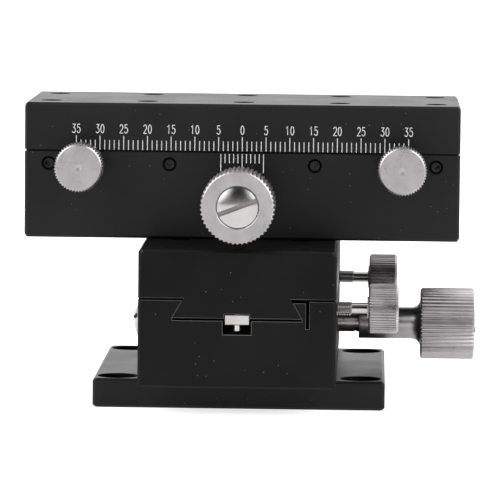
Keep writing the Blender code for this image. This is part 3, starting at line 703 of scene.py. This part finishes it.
def table_section(inset):
    """A table's end view as (x, z) points, moved in by the inset where its ends are chamfered."""
    rise = inset * DECK_CHAMFER / CHAMFER
    side = HALF_WIDTH - inset
    underside = DECK + DECK_GAP + rise
    top = TOP - inset
    keel = KEEL + DECK_GAP - GAP
    seat = DECK - RACK_TOP_DEPTH + DECK_GAP
    neck = DOVETAIL_HALF + (DECK - underside) * SLOPE
    foot = DOVETAIL_HALF + (DECK - keel) * SLOPE
    slot = RACK_HALF + DECK_GAP
    right = [
        (slot, seat),
        (slot, keel),
        (foot, keel),
        (neck, underside),
        (side - DECK_CHAMFER, underside),
        (side, underside + DECK_CHAMFER),
        (side, top - CHAMFER),
        (side - CHAMFER + EDGE / 2, top - EDGE / 2),
        (side - CHAMFER - EDGE / 2, top),
    ]
    return right + [(-x, z) for x, z in reversed(right)]


def block(name, section, black):
    """A block along Y with chamfered ends and worn edges, the edges lighter as worn anodise and painted
    highlight.
    """
    near = CHAMFER - EDGE / 2
    sections = [
        (-HALF_LENGTH, moved_in(section(CHAMFER), EDGE)),
        (-HALF_LENGTH + EDGE / 2, section(near)),
        (-HALF_LENGTH + CHAMFER, section(0.0)),
        (HALF_LENGTH - CHAMFER, section(0.0)),
        (HALF_LENGTH - EDGE / 2, section(near)),
        (HALF_LENGTH, moved_in(section(CHAMFER), EDGE)),
    ]
    return mark_edges(loft(name, [[(x, y, z) for x, z in outline] for y, outline in sections]), black)


def make_base(prefix, body):
    bore_outline = [
        (-HALF_WIDTH - OVER, 0.0),
        (-HALF_WIDTH - OVER, BORE + OVER),
        (-HALF_WIDTH + MOUTH, BORE - MOUTH),
        (HALF_WIDTH - MOUTH, BORE - MOUTH),
        (HALF_WIDTH + OVER, BORE + OVER),
        (HALF_WIDTH + OVER, 0.0),
    ]
    bore = turned("bore", bore_outline)
    bore.transform(sideways(0.0, 0.0, PINION_HEIGHT))
    start = SLIT_START + SLIT_WIDTH / 2
    side_outline = [
        (start, 0.0),
        (start, SIDE_HOLE),
        (HALF_WIDTH - MOUTH, SIDE_HOLE),
        (HALF_WIDTH + OVER, SIDE_HOLE + MOUTH + OVER),
        (HALF_WIDTH + OVER, 0.0),
    ]
    side_holes = repeated(
        "side_holes",
        turned("side_hole", side_outline, FINE),
        [sideways(0.0, y, SCREW_LEVEL) for y in GIB_PLACES + CLAMP_PLACES],
    )
    mesh = cut_mesh(block("base", base_section, BLACKS[prefix]), [bore, side_holes])
    add_piece(f"{prefix}_base_block", mesh, [], body, [f"{prefix}_base"], prefix)


def tapped_outline():
    """A tapped hole's (along, radius) points: rings in place of the thread's helix, and a bevelled mouth."""
    low = TOP - GRID_DEPTH
    root = M4 - M4_PITCH / 2
    outline = [(low, 0.0), (low, root)]
    turns = round((GRID_DEPTH - MOUTH) / M4_PITCH) - 1
    for turn in range(turns):
        along = TOP - MOUTH - (turns - turn) * M4_PITCH
        outline += [(along, root), (along + M4_PITCH * 0.45, M4), (along + M4_PITCH * 0.55, M4)]
    outline += [
        (TOP - MOUTH - 0.1 * MM, root + 0.2 * MM),
        (TOP + OVER, M4 + MOUTH + OVER),
        (TOP + OVER, 0.0),
    ]
    return outline


def make_table(prefix, body):
    places = [upright(row, column * GRID_PITCH) for column in range(-2, 3) for row in (-GRID_ROW, GRID_ROW)]
    holes = repeated("grid", turned("tapped", tapped_outline(), 40), places)
    mesh = cut_mesh(block("table", table_section, BLACKS[prefix]), [holes])
    add_piece(f"{prefix}_table_block", mesh, [], body, [f"{prefix}_table"], prefix)


# ---- Engraved scale ----

SCALE_END = 35
SCALE_PITCH = 0.98 * MM
SCALE_RISE = 0.25 * MM
LONG_TICK = 2.9 * MM
SHORT_TICK = 2.0 * MM
NUMBER_RISE = 3.45 * MM
VERNIER_PITCH = 0.9 * SCALE_PITCH
VERNIER_DROP = 0.28 * MM
VERNIER_LONG_TICK = 3.9 * MM
VERNIER_SHORT_TICK = 1.9 * MM
DIGIT_WIDTH = 0.70 * MM
DIGIT_HEIGHT = 1.75 * MM
DIGIT_SPACE = 0.27 * MM
STROKE = 0.165 * MM
MARK_PROUD = 0.012 * MM
MARK_DEPTH = 0.05 * MM
LEAST_MITRE = 0.6  # keeps the corners of a stroke from growing long


def arc(centre_x, centre_y, reach_x, reach_y, start, end, steps=14):
    """Points of an elliptic arc between two angles in degrees."""
    points = []
    for step in range(steps + 1):
        angle = math.radians(start + (end - start) * step / steps)
        points.append((centre_x + reach_x * math.cos(angle), centre_y + reach_y * math.sin(angle)))
    return points


# Each digit is a stroke in a box of width and height 1, and whether the stroke is closed.
DIGITS = {
    "0": (arc(0.5, 0.5, 0.46, 0.5, 90, 450, 28), True),
    "1": ([(0.12, 0.78), (0.52, 1.0), (0.52, 0.0)], False),
    "2": (arc(0.5, 0.72, 0.43, 0.28, 165, -28) + [(0.04, 0.0), (0.98, 0.0)], False),
    "3": ([(0.10, 1.0), (0.88, 1.0), (0.42, 0.60)] + arc(0.42, 0.30, 0.50, 0.30, 80, -155), False),
    "5": ([(0.90, 1.0), (0.20, 1.0), (0.10, 0.56)] + arc(0.44, 0.33, 0.50, 0.33, 125, -155), False),
}


def ribbon(shape, points, closed, width):
    """A thin closed bar along a line of (across, up) points on the stage's +X face."""
    places = [Vector(point) for point in points]
    if closed:
        places = places[:-1]
    count = len(places)
    rows = []
    for index, here in enumerate(places):
        before = places[index - 1] if closed or index > 0 else None
        after = places[(index + 1) % count] if closed or index < count - 1 else None
        into = (here - before).normalized() if before is not None else (after - here).normalized()
        out = (after - here).normalized() if after is not None else into
        along = (into + out).normalized()
        side = Vector((-along.y, along.x)) * (width / 2) / max(LEAST_MITRE, along.dot(into))
        rows.append((here + side, here - side))
    outer = HALF_WIDTH + MARK_PROUD
    inner = HALF_WIDTH - MARK_DEPTH
    rings = [
        [
            shape.verts.new((outer, left.x, left.y)),
            shape.verts.new((outer, right.x, right.y)),
            shape.verts.new((inner, right.x, right.y)),
            shape.verts.new((inner, left.x, left.y)),
        ]
        for left, right in rows
    ]
    followers = rings[1:] + (rings[:1] if closed else [])
    for near, far in zip(rings, followers):
        for corner in range(4):
            following = (corner + 1) % 4
            shape.faces.new((near[corner], near[following], far[following], far[corner]))
    if not closed:
        shape.faces.new(rings[0])
        shape.faces.new(rings[-1])


def number_strokes(shape, text, centre, foot):
    width = len(text) * DIGIT_WIDTH + (len(text) - 1) * DIGIT_SPACE
    for index, digit in enumerate(text):
        left = centre - width / 2 + index * (DIGIT_WIDTH + DIGIT_SPACE)
        points, closed = DIGITS[digit]
        placed = [(left + x * DIGIT_WIDTH, foot + y * DIGIT_HEIGHT) for x, y in points]
        ribbon(shape, placed, closed, STROKE)


def tick(shape, place, low, high):
    ribbon(shape, [(place, low), (place, high)], False, STROKE)


def make_scale(prefix, body):
    """Ticks on the table's side, with a number at every fifth."""
    shape = bmesh.new()
    low = DECK + DECK_GAP + SCALE_RISE
    for step in range(-SCALE_END, SCALE_END + 1):
        numbered = step % 5 == 0
        tick(shape, step * SCALE_PITCH, low, low + (LONG_TICK if numbered else SHORT_TICK))
        if numbered:
            number_strokes(shape, str(abs(step)), step * SCALE_PITCH, low + NUMBER_RISE)
    mesh = finish_mesh(shape, "scale")
    add_piece(f"{prefix}_scale", mesh, [WHITE], body, [], prefix)


def make_vernier(prefix, body):
    """Eleven ticks on the base's side, ten of their spaces to nine of the scale's."""
    shape = bmesh.new()
    high = DECK - VERNIER_DROP
    for step in range(-5, 6):
        length = VERNIER_LONG_TICK if step % 5 == 0 else VERNIER_SHORT_TICK
        tick(shape, step * VERNIER_PITCH, high - length, high)
    mesh = finish_mesh(shape, "vernier")
    add_piece(f"{prefix}_vernier", mesh, [WHITE], body, [], prefix)


# ---- Rack, pins and hidden screws ----


def rack_outline():
    """The rack's side view as (y, z) points: whole teeth over the travel, plain ends with broken corners."""
    top = DECK - RACK_TOP_DEPTH - RACK_TOP_GAP
    plain = DECK - RACK_END_DEPTH
    tooth_pitch = math.pi * MODULE
    pitch_line = PINION_HEIGHT + MODULE * TEETH / 2
    lean = math.tan(PRESSURE)
    half_pitch = (tooth_pitch / 2 - BACKLASH) / 2
    tip = pitch_line - RACK_ADDENDUM
    root = pitch_line + RACK_DEDENDUM
    end = HALF_LENGTH - RACK_INSET
    cut = 0.14 * MM
    each_side = round(TRAVEL / tooth_pitch)
    wide = half_pitch + RACK_DEDENDUM * lean
    narrow = half_pitch - RACK_ADDENDUM * lean
    points = [(end, top - cut), (end - cut, top), (cut - end, top)]
    points += [(-end, top - cut), (-end, plain + cut), (cut - end, plain)]
    for tooth in range(-each_side, each_side):
        middle = (tooth + 0.5) * tooth_pitch
        points.append((middle - wide, plain if tooth == -each_side else root))
        points.append((middle - narrow, tip))
        points.append((middle + narrow, tip))
        points.append((middle + wide, plain if tooth == each_side - 1 else root))
    return points + [(end - cut, plain), (end, plain + cut)]


def make_rack(prefix, body):
    """The rack, with holes that fit its pins and screws closely."""
    outline = rack_outline()
    cut = 0.12 * MM
    inner = moved_in(outline, cut)
    edges = [(-RACK_HALF, inner), (cut - RACK_HALF, outline), (RACK_HALF - cut, outline), (RACK_HALF, inner)]
    mesh = loft("rack", [[(x, y, z) for y, z in points] for x, points in edges])
    cutters = []
    for name in ("stop_pin_1", "stop_pin_2", "rack_screw_1", "rack_screw_2"):
        low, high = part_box(f"y_{name}")
        radius = (high.x - low.x) / 2 + PIN_GAP
        hole = turned("hole", [(0.0, 0.0), (0.0, radius), (DECK, radius), (DECK, 0.0)], 32)
        hole.transform(upright(0.0, (low.y + high.y) / 2, DECK / 2))
        cutters.append(hole)
    mesh = cut_mesh(mesh, cutters)
    add_piece(f"{prefix}_rack_fine", mesh, [RACK_STEEL], body, [f"{prefix}_rack"], prefix)


# ---- Turned pieces of the drive ----


def slotted(mesh, top, radius, width, depth, angle):
    """The mesh of a turned head with a screwdriver slot across it."""
    reach = radius + GAP
    half = width / 2
    corners = [(-reach, -half), (reach, -half), (reach, half), (-reach, half)]
    cosine = math.cos(angle)
    sine = math.sin(angle)
    section = [(y * cosine - z * sine, y * sine + z * cosine) for y, z in corners]
    # The slot's faces take the third, darker material: painted shade.
    add_materials(mesh, [SCREW_STEEL, SCREW_STEEL, SLOT_PAINTED_SHADE_STEEL])
    cutter = loft("slot", [[(x, y, z) for y, z in section] for x in (top - depth, top + GAP)])
    return cut_mesh(mesh, [cutter])


def knob_outline(crests, recess):
    """A drive knob's (along, radius) points, from its hub over the knurl to the seat of its screw."""
    low = KNOB_LOW.x
    high = KNOB_HIGH.x
    hub = 3.35 * MM
    flare = 4.95 * MM
    flare_start = HALF_WIDTH + 15.3 * MM
    head = HALF_WIDTH + 17.35 * MM
    outline = softened([(low, SCREW_SHANK_HOLE), (low, hub, 0.25 * MM), (flare_start, hub)])
    flare_steps = 12
    for step in range(1, flare_steps + 1):
        angle = math.pi / 2 * step / flare_steps
        along = flare_start + (head - flare_start) * math.sin(angle)
        outline.append((along, flare - (flare - hub) * math.cos(angle)))
    outline.append((head, 6.7 * MM))
    for along, cap in ((0.0, 6.95), (0.10, 7.15), (0.40, 7.5)):
        outline.append((head + along * MM, capped(crests, cap * MM)))
    for along, cap in ((0.42, 7.5), (0.16, 7.28), (0.0, 7.02)):
        outline.append((high - along * MM, capped(crests, cap * MM)))
    return outline + [
        (high, 6.9 * MM),
        (high, 4.47 * MM),
        (high - 0.2 * MM, 4.25 * MM),
        (recess, 4.25 * MM),
        (recess, SCREW_SHANK_HOLE),
    ]


def make_knob(prefix, body, place, recess):
    angles, crests = knurl(KNURL_TEETH, crest=7.5 * MM, depth=0.30 * MM)
    mesh = turned("knob", knob_outline(crests, recess), angles=angles, smooth_angle=KNURL_FLAT)
    node = f"{prefix}_knob"
    add_piece(f"{node}_fine", mesh, [KNOB_STEEL], body, [node], prefix, place)


def domed_screw(name, tip, under, crown, radius, rise, slot_width, slot_depth):
    """A slotted screw along X: its shank's tip, the head's underside, and the dome's start and rise."""
    shank = 1.25 * MM
    outline = [(tip, 0.0), (tip, shank), (under, shank), (under, radius)]
    outline += dome(crown, radius, rise)
    return slotted(turned(name, outline), crown + rise, radius, slot_width, slot_depth, SLOT_TURN)


def make_knob_screw(prefix, body, place, recess):
    under = recess + GAP
    mesh = domed_screw(
        "knob_screw",
        tip=under - 6 * MM,
        under=under,
        crown=under + 1.6 * MM,
        radius=4.1 * MM,
        rise=0.57 * MM,
        slot_width=0.95 * MM,
        slot_depth=0.9 * MM,
    )
    node = f"{prefix}_knob_screw"
    add_piece(f"{node}_fine", mesh, [], body, [node], prefix, place)


def make_end_screw(prefix, body, place):
    mesh = domed_screw(
        "end_screw",
        tip=HALF_WIDTH - 6 * MM,
        under=HALF_WIDTH + 1.2 * MM,
        crown=HALF_WIDTH + 2.0 * MM,
        radius=4.0 * MM,
        rise=1.3 * MM,
        slot_width=1.0 * MM,
        slot_depth=1.0 * MM,
    )
    node = f"{prefix}_end_screw"
    add_piece(f"{node}_fine", mesh, [], body, [node], prefix, place)


def make_thrust_washer(prefix, body, place):
    hole = 1.55 * MM
    rim = 4.0 * MM
    near = HALF_WIDTH + 0.3 * MM
    far = HALF_WIDTH + 0.9 * MM
    ring = softened(
        [
            (near, hole),
            (near, rim, 0.1 * MM),
            (far, rim, 0.1 * MM),
            (far, hole),
        ],
        closed=True,
    )
    node = f"{prefix}_thrust_washer"
    mesh = turned("washer", ring)
    add_piece(f"{node}_fine", mesh, [SCREW_STEEL], body, [node], prefix, place)


def make_pinion_shaft(prefix, body, place):
    low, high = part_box("y_pinion_shaft")
    fillet = 0.2 * MM
    gear = 2.6 * MM
    groove = HALF_WIDTH + 3.7 * MM
    groove_half = 0.15 * MM
    groove_floor = SHAFT - 0.2 * MM
    angles, teeth = pinion_teeth()
    outline = softened([(low.x, 0.0), (low.x, SHAFT, fillet), (-gear, SHAFT)])
    outline += [(-gear, teeth), (gear, teeth)]
    outline += softened(
        [
            (gear, SHAFT),
            (groove - groove_half, SHAFT),
            (groove - groove_half, groove_floor),
            (groove + groove_half, groove_floor),
            (groove + groove_half, SHAFT),
            (high.x, SHAFT, fillet),
            (high.x, 0.0),
        ]
    )
    node = f"{prefix}_pinion_shaft"
    mesh = turned("shaft", outline, angles=angles)
    add_piece(f"{node}_fine", mesh, [RACK_STEEL], body, [node], prefix, place)


def make_bush(node, prefix, body, place):
    near = 2.9 * MM
    far = HALF_WIDTH - 0.3 * MM
    hole = 2.1 * MM
    rim = 3.5 * MM
    fillet = 0.2 * MM
    ring = softened([(near, hole), (near, rim, fillet), (far, rim, fillet), (far, hole, fillet)], closed=True)
    add_piece(f"{node}_fine", turned("bush", ring), [BRASS], body, [node], prefix, place)


def make_drive(prefix, base_body, pinion_body):
    """Knob, screws, washer and shaft, which turn together, and the bushes that they turn in."""
    axis = sideways(0.0, 0.0, PINION_HEIGHT)
    flipped = axis @ Matrix.Rotation(math.pi, 4, "Z")
    recess = KNOB_HIGH.x - 2.0 * MM
    make_knob(prefix, pinion_body, axis, recess)
    make_knob_screw(prefix, pinion_body, axis, recess)
    make_end_screw(prefix, pinion_body, flipped)
    make_thrust_washer(prefix, pinion_body, flipped)
    make_pinion_shaft(prefix, pinion_body, axis)
    make_bush(f"{prefix}_knob_bush", prefix, base_body, axis)
    make_bush(f"{prefix}_end_bush", prefix, base_body, flipped)


def pinion_teeth():
    """Angles and radii of involute teeth, eight points to a tooth."""
    pitch_radius = MODULE * TEETH / 2
    base_radius = pitch_radius * math.cos(PRESSURE)
    half_pitch = (math.pi * MODULE / 2 - BACKLASH) / 2 / pitch_radius
    spread = half_pitch + math.tan(PRESSURE) - PRESSURE
    half = []
    for radius in (2.83 * MM, 3.0 * MM, 3.25 * MM, 3.45 * MM):
        roll = math.acos(min(1.0, base_radius / radius))
        half.append((spread - (math.tan(roll) - roll), radius))
    half.insert(0, (spread + 0.05, 2.375 * MM))
    angles = []
    radii = []
    for number in range(TEETH):
        middle = math.pi / 2 + 2 * math.pi * number / TEETH
        for angle, radius in half:
            angles.append(middle - angle)
            radii.append(radius)
        for angle, radius in reversed(half):
            angles.append(middle + angle)
            radii.append(radius)
    return angles, radii


# ---- Gib screws and clamps ----


def make_gib_screws(prefix, body):
    """Set screws with hexagonal sockets, just inside the base's side."""
    tip = SLIT_START + GAP
    rim = HALF_WIDTH - 0.4 * MM
    radius = 1.24 * MM
    socket = hexagon(0.75 * MM, FINE)
    outline = [
        (tip, 0.0),
        (tip, 1.0 * MM),
        (tip + 0.5 * MM, radius),
        (rim - 0.25 * MM, radius),
        (rim, 0.98 * MM),
        (rim, socket),
        (rim - 1.5 * MM, socket),
        (rim - 1.8 * MM, 0.0),
    ]
    for number, y in enumerate(GIB_PLACES, 1):
        node = f"{prefix}_gib_screw_{number}"
        mesh = turned("gib_screw", outline, FINE)
        place = sideways(0.0, y, SCREW_LEVEL)
        add_piece(f"{node}_fine", mesh, [OXIDE], body, [node], prefix, place)


def make_clamp_stud(node, prefix, body, place):
    core = 1.2 * MM
    thread_start = STUD_LOW.x + 0.2 * MM
    thread_end = HALF_WIDTH + 2.95 * MM
    outline = [(STUD_LOW.x, 0.0), (STUD_LOW.x, core)]
    outline += thread(thread_start, thread_end, M3, M3_PITCH, FINE)
    outline += [(thread_end + 0.1 * MM, core), (STUD_HIGH.x, core), (STUD_HIGH.x, 0.0)]
    mesh = turned("stud", outline, FINE)
    add_piece(f"{node}_fine", mesh, [SCREW_STEEL], body, [node], prefix, place)


def make_clamp_knob(node, prefix, body, place):
    angles, crests = knurl(KNURL_TEETH, crest=5.0 * MM, depth=0.26 * MM)
    back = CLAMP_LOW.x
    front = CLAMP_HIGH.x
    head = back + 0.25 * MM
    bore = 1.5 * MM
    bore_end = back + 4.5 * MM
    hub = 2.4 * MM
    outline = [(bore_end, 0.0), (bore_end, bore), (back, bore), (back, hub), (head, hub), (head, 4.45 * MM)]
    for along, cap in ((0.12, 4.66), (0.40, 5.0)):
        outline.append((head + along * MM, capped(crests, cap * MM)))
    for along, cap in ((0.45, 5.0), (0.16, 4.72), (0.0, 4.5)):
        outline.append((front - along * MM, capped(crests, cap * MM)))
    outline += [
        (front, 4.40 * MM),
        (front, 4.30 * MM),
        (front, 0.75 * MM),
        (front, 0.70 * MM),
        (front - 0.05 * MM, 0.55 * MM),
        (front - 0.06 * MM, 0.25 * MM),
        (front - 0.12 * MM, 0.0),
    ]
    mesh = turned("clamp_knob", outline, angles=angles, smooth_angle=KNURL_FLAT)
    add_piece(f"{node}_fine", mesh, [KNOB_STEEL], body, [node], prefix, place)


def make_clamp_pad(node, prefix, place):
    fillet = 0.2 * MM
    outline = softened(
        [
            (PAD_LOW.x, 0.0),
            (PAD_LOW.x, M3, fillet),
            (PAD_HIGH.x, M3, fillet),
            (PAD_HIGH.x, 0.0),
        ]
    )
    add_piece(f"{node}_fine", turned("pad", outline, 32), [BRASS], node, [node], prefix, place)


def make_clamp(prefix, number, y):
    """A clamp screw: its stud and knob turn together, and its pad is a body of its own."""
    place = sideways(0.0, y, SCREW_LEVEL)
    body = f"{prefix}_clamp_{number}"
    make_clamp_stud(f"{body}_stud", prefix, body, place)
    make_clamp_knob(f"{body}_knob", prefix, body, place)
    make_clamp_pad(f"{body}_pad", prefix, place)


def finish_cad_nodes():
    """Materials for the small inner pieces that stay as the CAD has them."""
    for name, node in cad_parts.items():
        if node.hide_render:
            continue
        material = OXIDE if "stage_screw" in name else RACK_STEEL
        node.data.materials.clear()
        node.data.materials.append(material)


# ---- Studio ----

BASE_LIGHT = 0.40
PAPER = (0.60, 0.60, 0.60)
PAPER_GLOW = 0.66


def make_floor():
    """A wide sheet of white paper that glows a little."""
    shape = bmesh.new()
    reach = 9.0
    front = [shape.verts.new((x, -reach, 0.0)) for x in (-reach, reach)]
    back = [shape.verts.new((x, reach, 0.0)) for x in (-reach, reach)]
    shape.faces.new((front[0], front[1], back[1], back[0]))
    mesh = finish_mesh(shape, "floor")
    shader = Shader("floor_paper", PAPER, 0.0, 0.85)
    fibre = shader.noise(140.0, 4.0)
    tone = shader.mix(shader.ramp(fibre, 0.0, 1.0), (0.59, 0.59, 0.59), (0.61, 0.61, 0.61))
    shader.link(tone, shader.surface.inputs["Base Color"])
    shader.surface.inputs["Specular IOR Level"].default_value = 0.0
    shader.surface.inputs["Emission Color"].default_value = (1.0, 1.0, 1.0, 1.0)
    shader.surface.inputs["Emission Strength"].default_value = PAPER_GLOW
    mesh.materials.append(shader.material)
    floor = bpy.data.objects.new("floor", mesh)
    bpy.context.scene.collection.objects.link(floor)


def make_world():
    """A studio brighter behind and above, with bright patches beside the camera and a dim one over it."""
    world = bpy.data.worlds.new("studio")
    world.use_nodes = True
    tree = world.node_tree
    background = tree.nodes["Background"]
    place = tree.nodes.new("ShaderNodeTexCoord").outputs["Generated"]

    def patch(direction, near, far, amount):
        """amount around a direction, falling to 0 where the cosine of the angle to it falls to far."""
        dot = tree.nodes.new("ShaderNodeVectorMath")
        dot.operation = "DOT_PRODUCT"
        dot.inputs[1].default_value = Vector(direction).normalized()
        tree.links.new(place, dot.inputs[0])
        reach = tree.nodes.new("ShaderNodeMapRange")
        reach.interpolation_type = "SMOOTHSTEP"
        reach.inputs["From Min"].default_value = far
        reach.inputs["From Max"].default_value = near
        reach.inputs["To Max"].default_value = amount
        tree.links.new(dot.outputs["Value"], reach.inputs["Value"])
        return reach.outputs["Result"]

    total = None
    # Direction, cosine at which the patch is full, cosine at which it ends, strength.
    patches = [
        ((0.0, 1.0, 0.0), 0.85, -0.3, 1.1),
        ((0.0, 0.0, 1.0), 0.95, 0.3, 0.10),
        ((-0.72, -0.62, 0.55), 0.93, 0.80, 4.6),
        ((0.72, -0.62, 0.55), 0.93, 0.80, 4.6),
        ((0.0, -0.85, 0.55), 0.97, 0.84, -0.40),
    ]
    # The first patch is added to the base light, and each later one to the total so far.
    for settings in patches:
        amount = patch(*settings)
        add = tree.nodes.new("ShaderNodeMath")
        add.operation = "ADD"
        add.inputs[1].default_value = BASE_LIGHT
        tree.links.new(amount, add.inputs[0])
        if total is not None:
            tree.links.new(total, add.inputs[1])
        total = add.outputs[0]
    tree.links.new(total, background.inputs["Strength"])
    background.inputs["Color"].default_value = (1.0, 1.0, 1.0, 1.0)
    bpy.context.scene.world = world


def make_light(name, place, size, power):
    """A rectangular lamp that looks at the object."""
    light = bpy.data.lights.new(name, "AREA")
    light.shape = "RECTANGLE"
    light.size, light.size_y = size
    light.energy = power
    lamp = bpy.data.objects.new(name, light)
    lamp.location = place
    aim = Vector((0.0, 0.0, 0.03)) - Vector(place)
    lamp.rotation_euler = aim.to_track_quat("-Z", "Y").to_euler()
    bpy.context.scene.collection.objects.link(lamp)


def make_camera():
    camera = bpy.data.cameras.new("camera")
    camera.sensor_width = 36.0
    camera.lens = 316.7
    camera.clip_end = 50.0
    holder = bpy.data.objects.new("camera", camera)
    place = (0.02733, -0.92521, 0.11582)
    yaw = math.radians(1.615)
    pitch = math.radians(-5.296)
    roll = math.radians(-0.577)
    upright_view = Matrix.Rotation(math.pi / 2, 4, "X")
    turn = Matrix.Rotation(yaw, 4, "Z") @ Matrix.Rotation(pitch, 4, "X") @ Matrix.Rotation(roll, 4, "Y")
    holder.matrix_world = Matrix.Translation(place) @ turn @ upright_view
    bpy.context.scene.collection.objects.link(holder)
    bpy.context.scene.camera = holder


CARRIAGES = {"y": "y_carriage", "x": "x_carriage"}
BASES = {"y": "base", "x": "y_carriage"}
make_plate()
for prefix in ("y", "x"):
    make_base(prefix, BASES[prefix])
    make_table(prefix, CARRIAGES[prefix])
    make_scale(prefix, CARRIAGES[prefix])
    make_vernier(prefix, BASES[prefix])
    make_drive(prefix, BASES[prefix], f"{prefix}_pinion")
    make_gib_screws(prefix, BASES[prefix])
    make_rack(prefix, CARRIAGES[prefix])
    for number, y in enumerate(CLAMP_PLACES, 1):
        make_clamp(prefix, number, y)
finish_cad_nodes()
make_floor()
make_world()
make_light("softbox_top", (0.0, 0.2, 1.2), (0.9, 0.9), 2.0)
make_camera()
bpy.context.scene.view_settings.view_transform = "Standard"
bpy.context.scene.view_settings.look = "None"
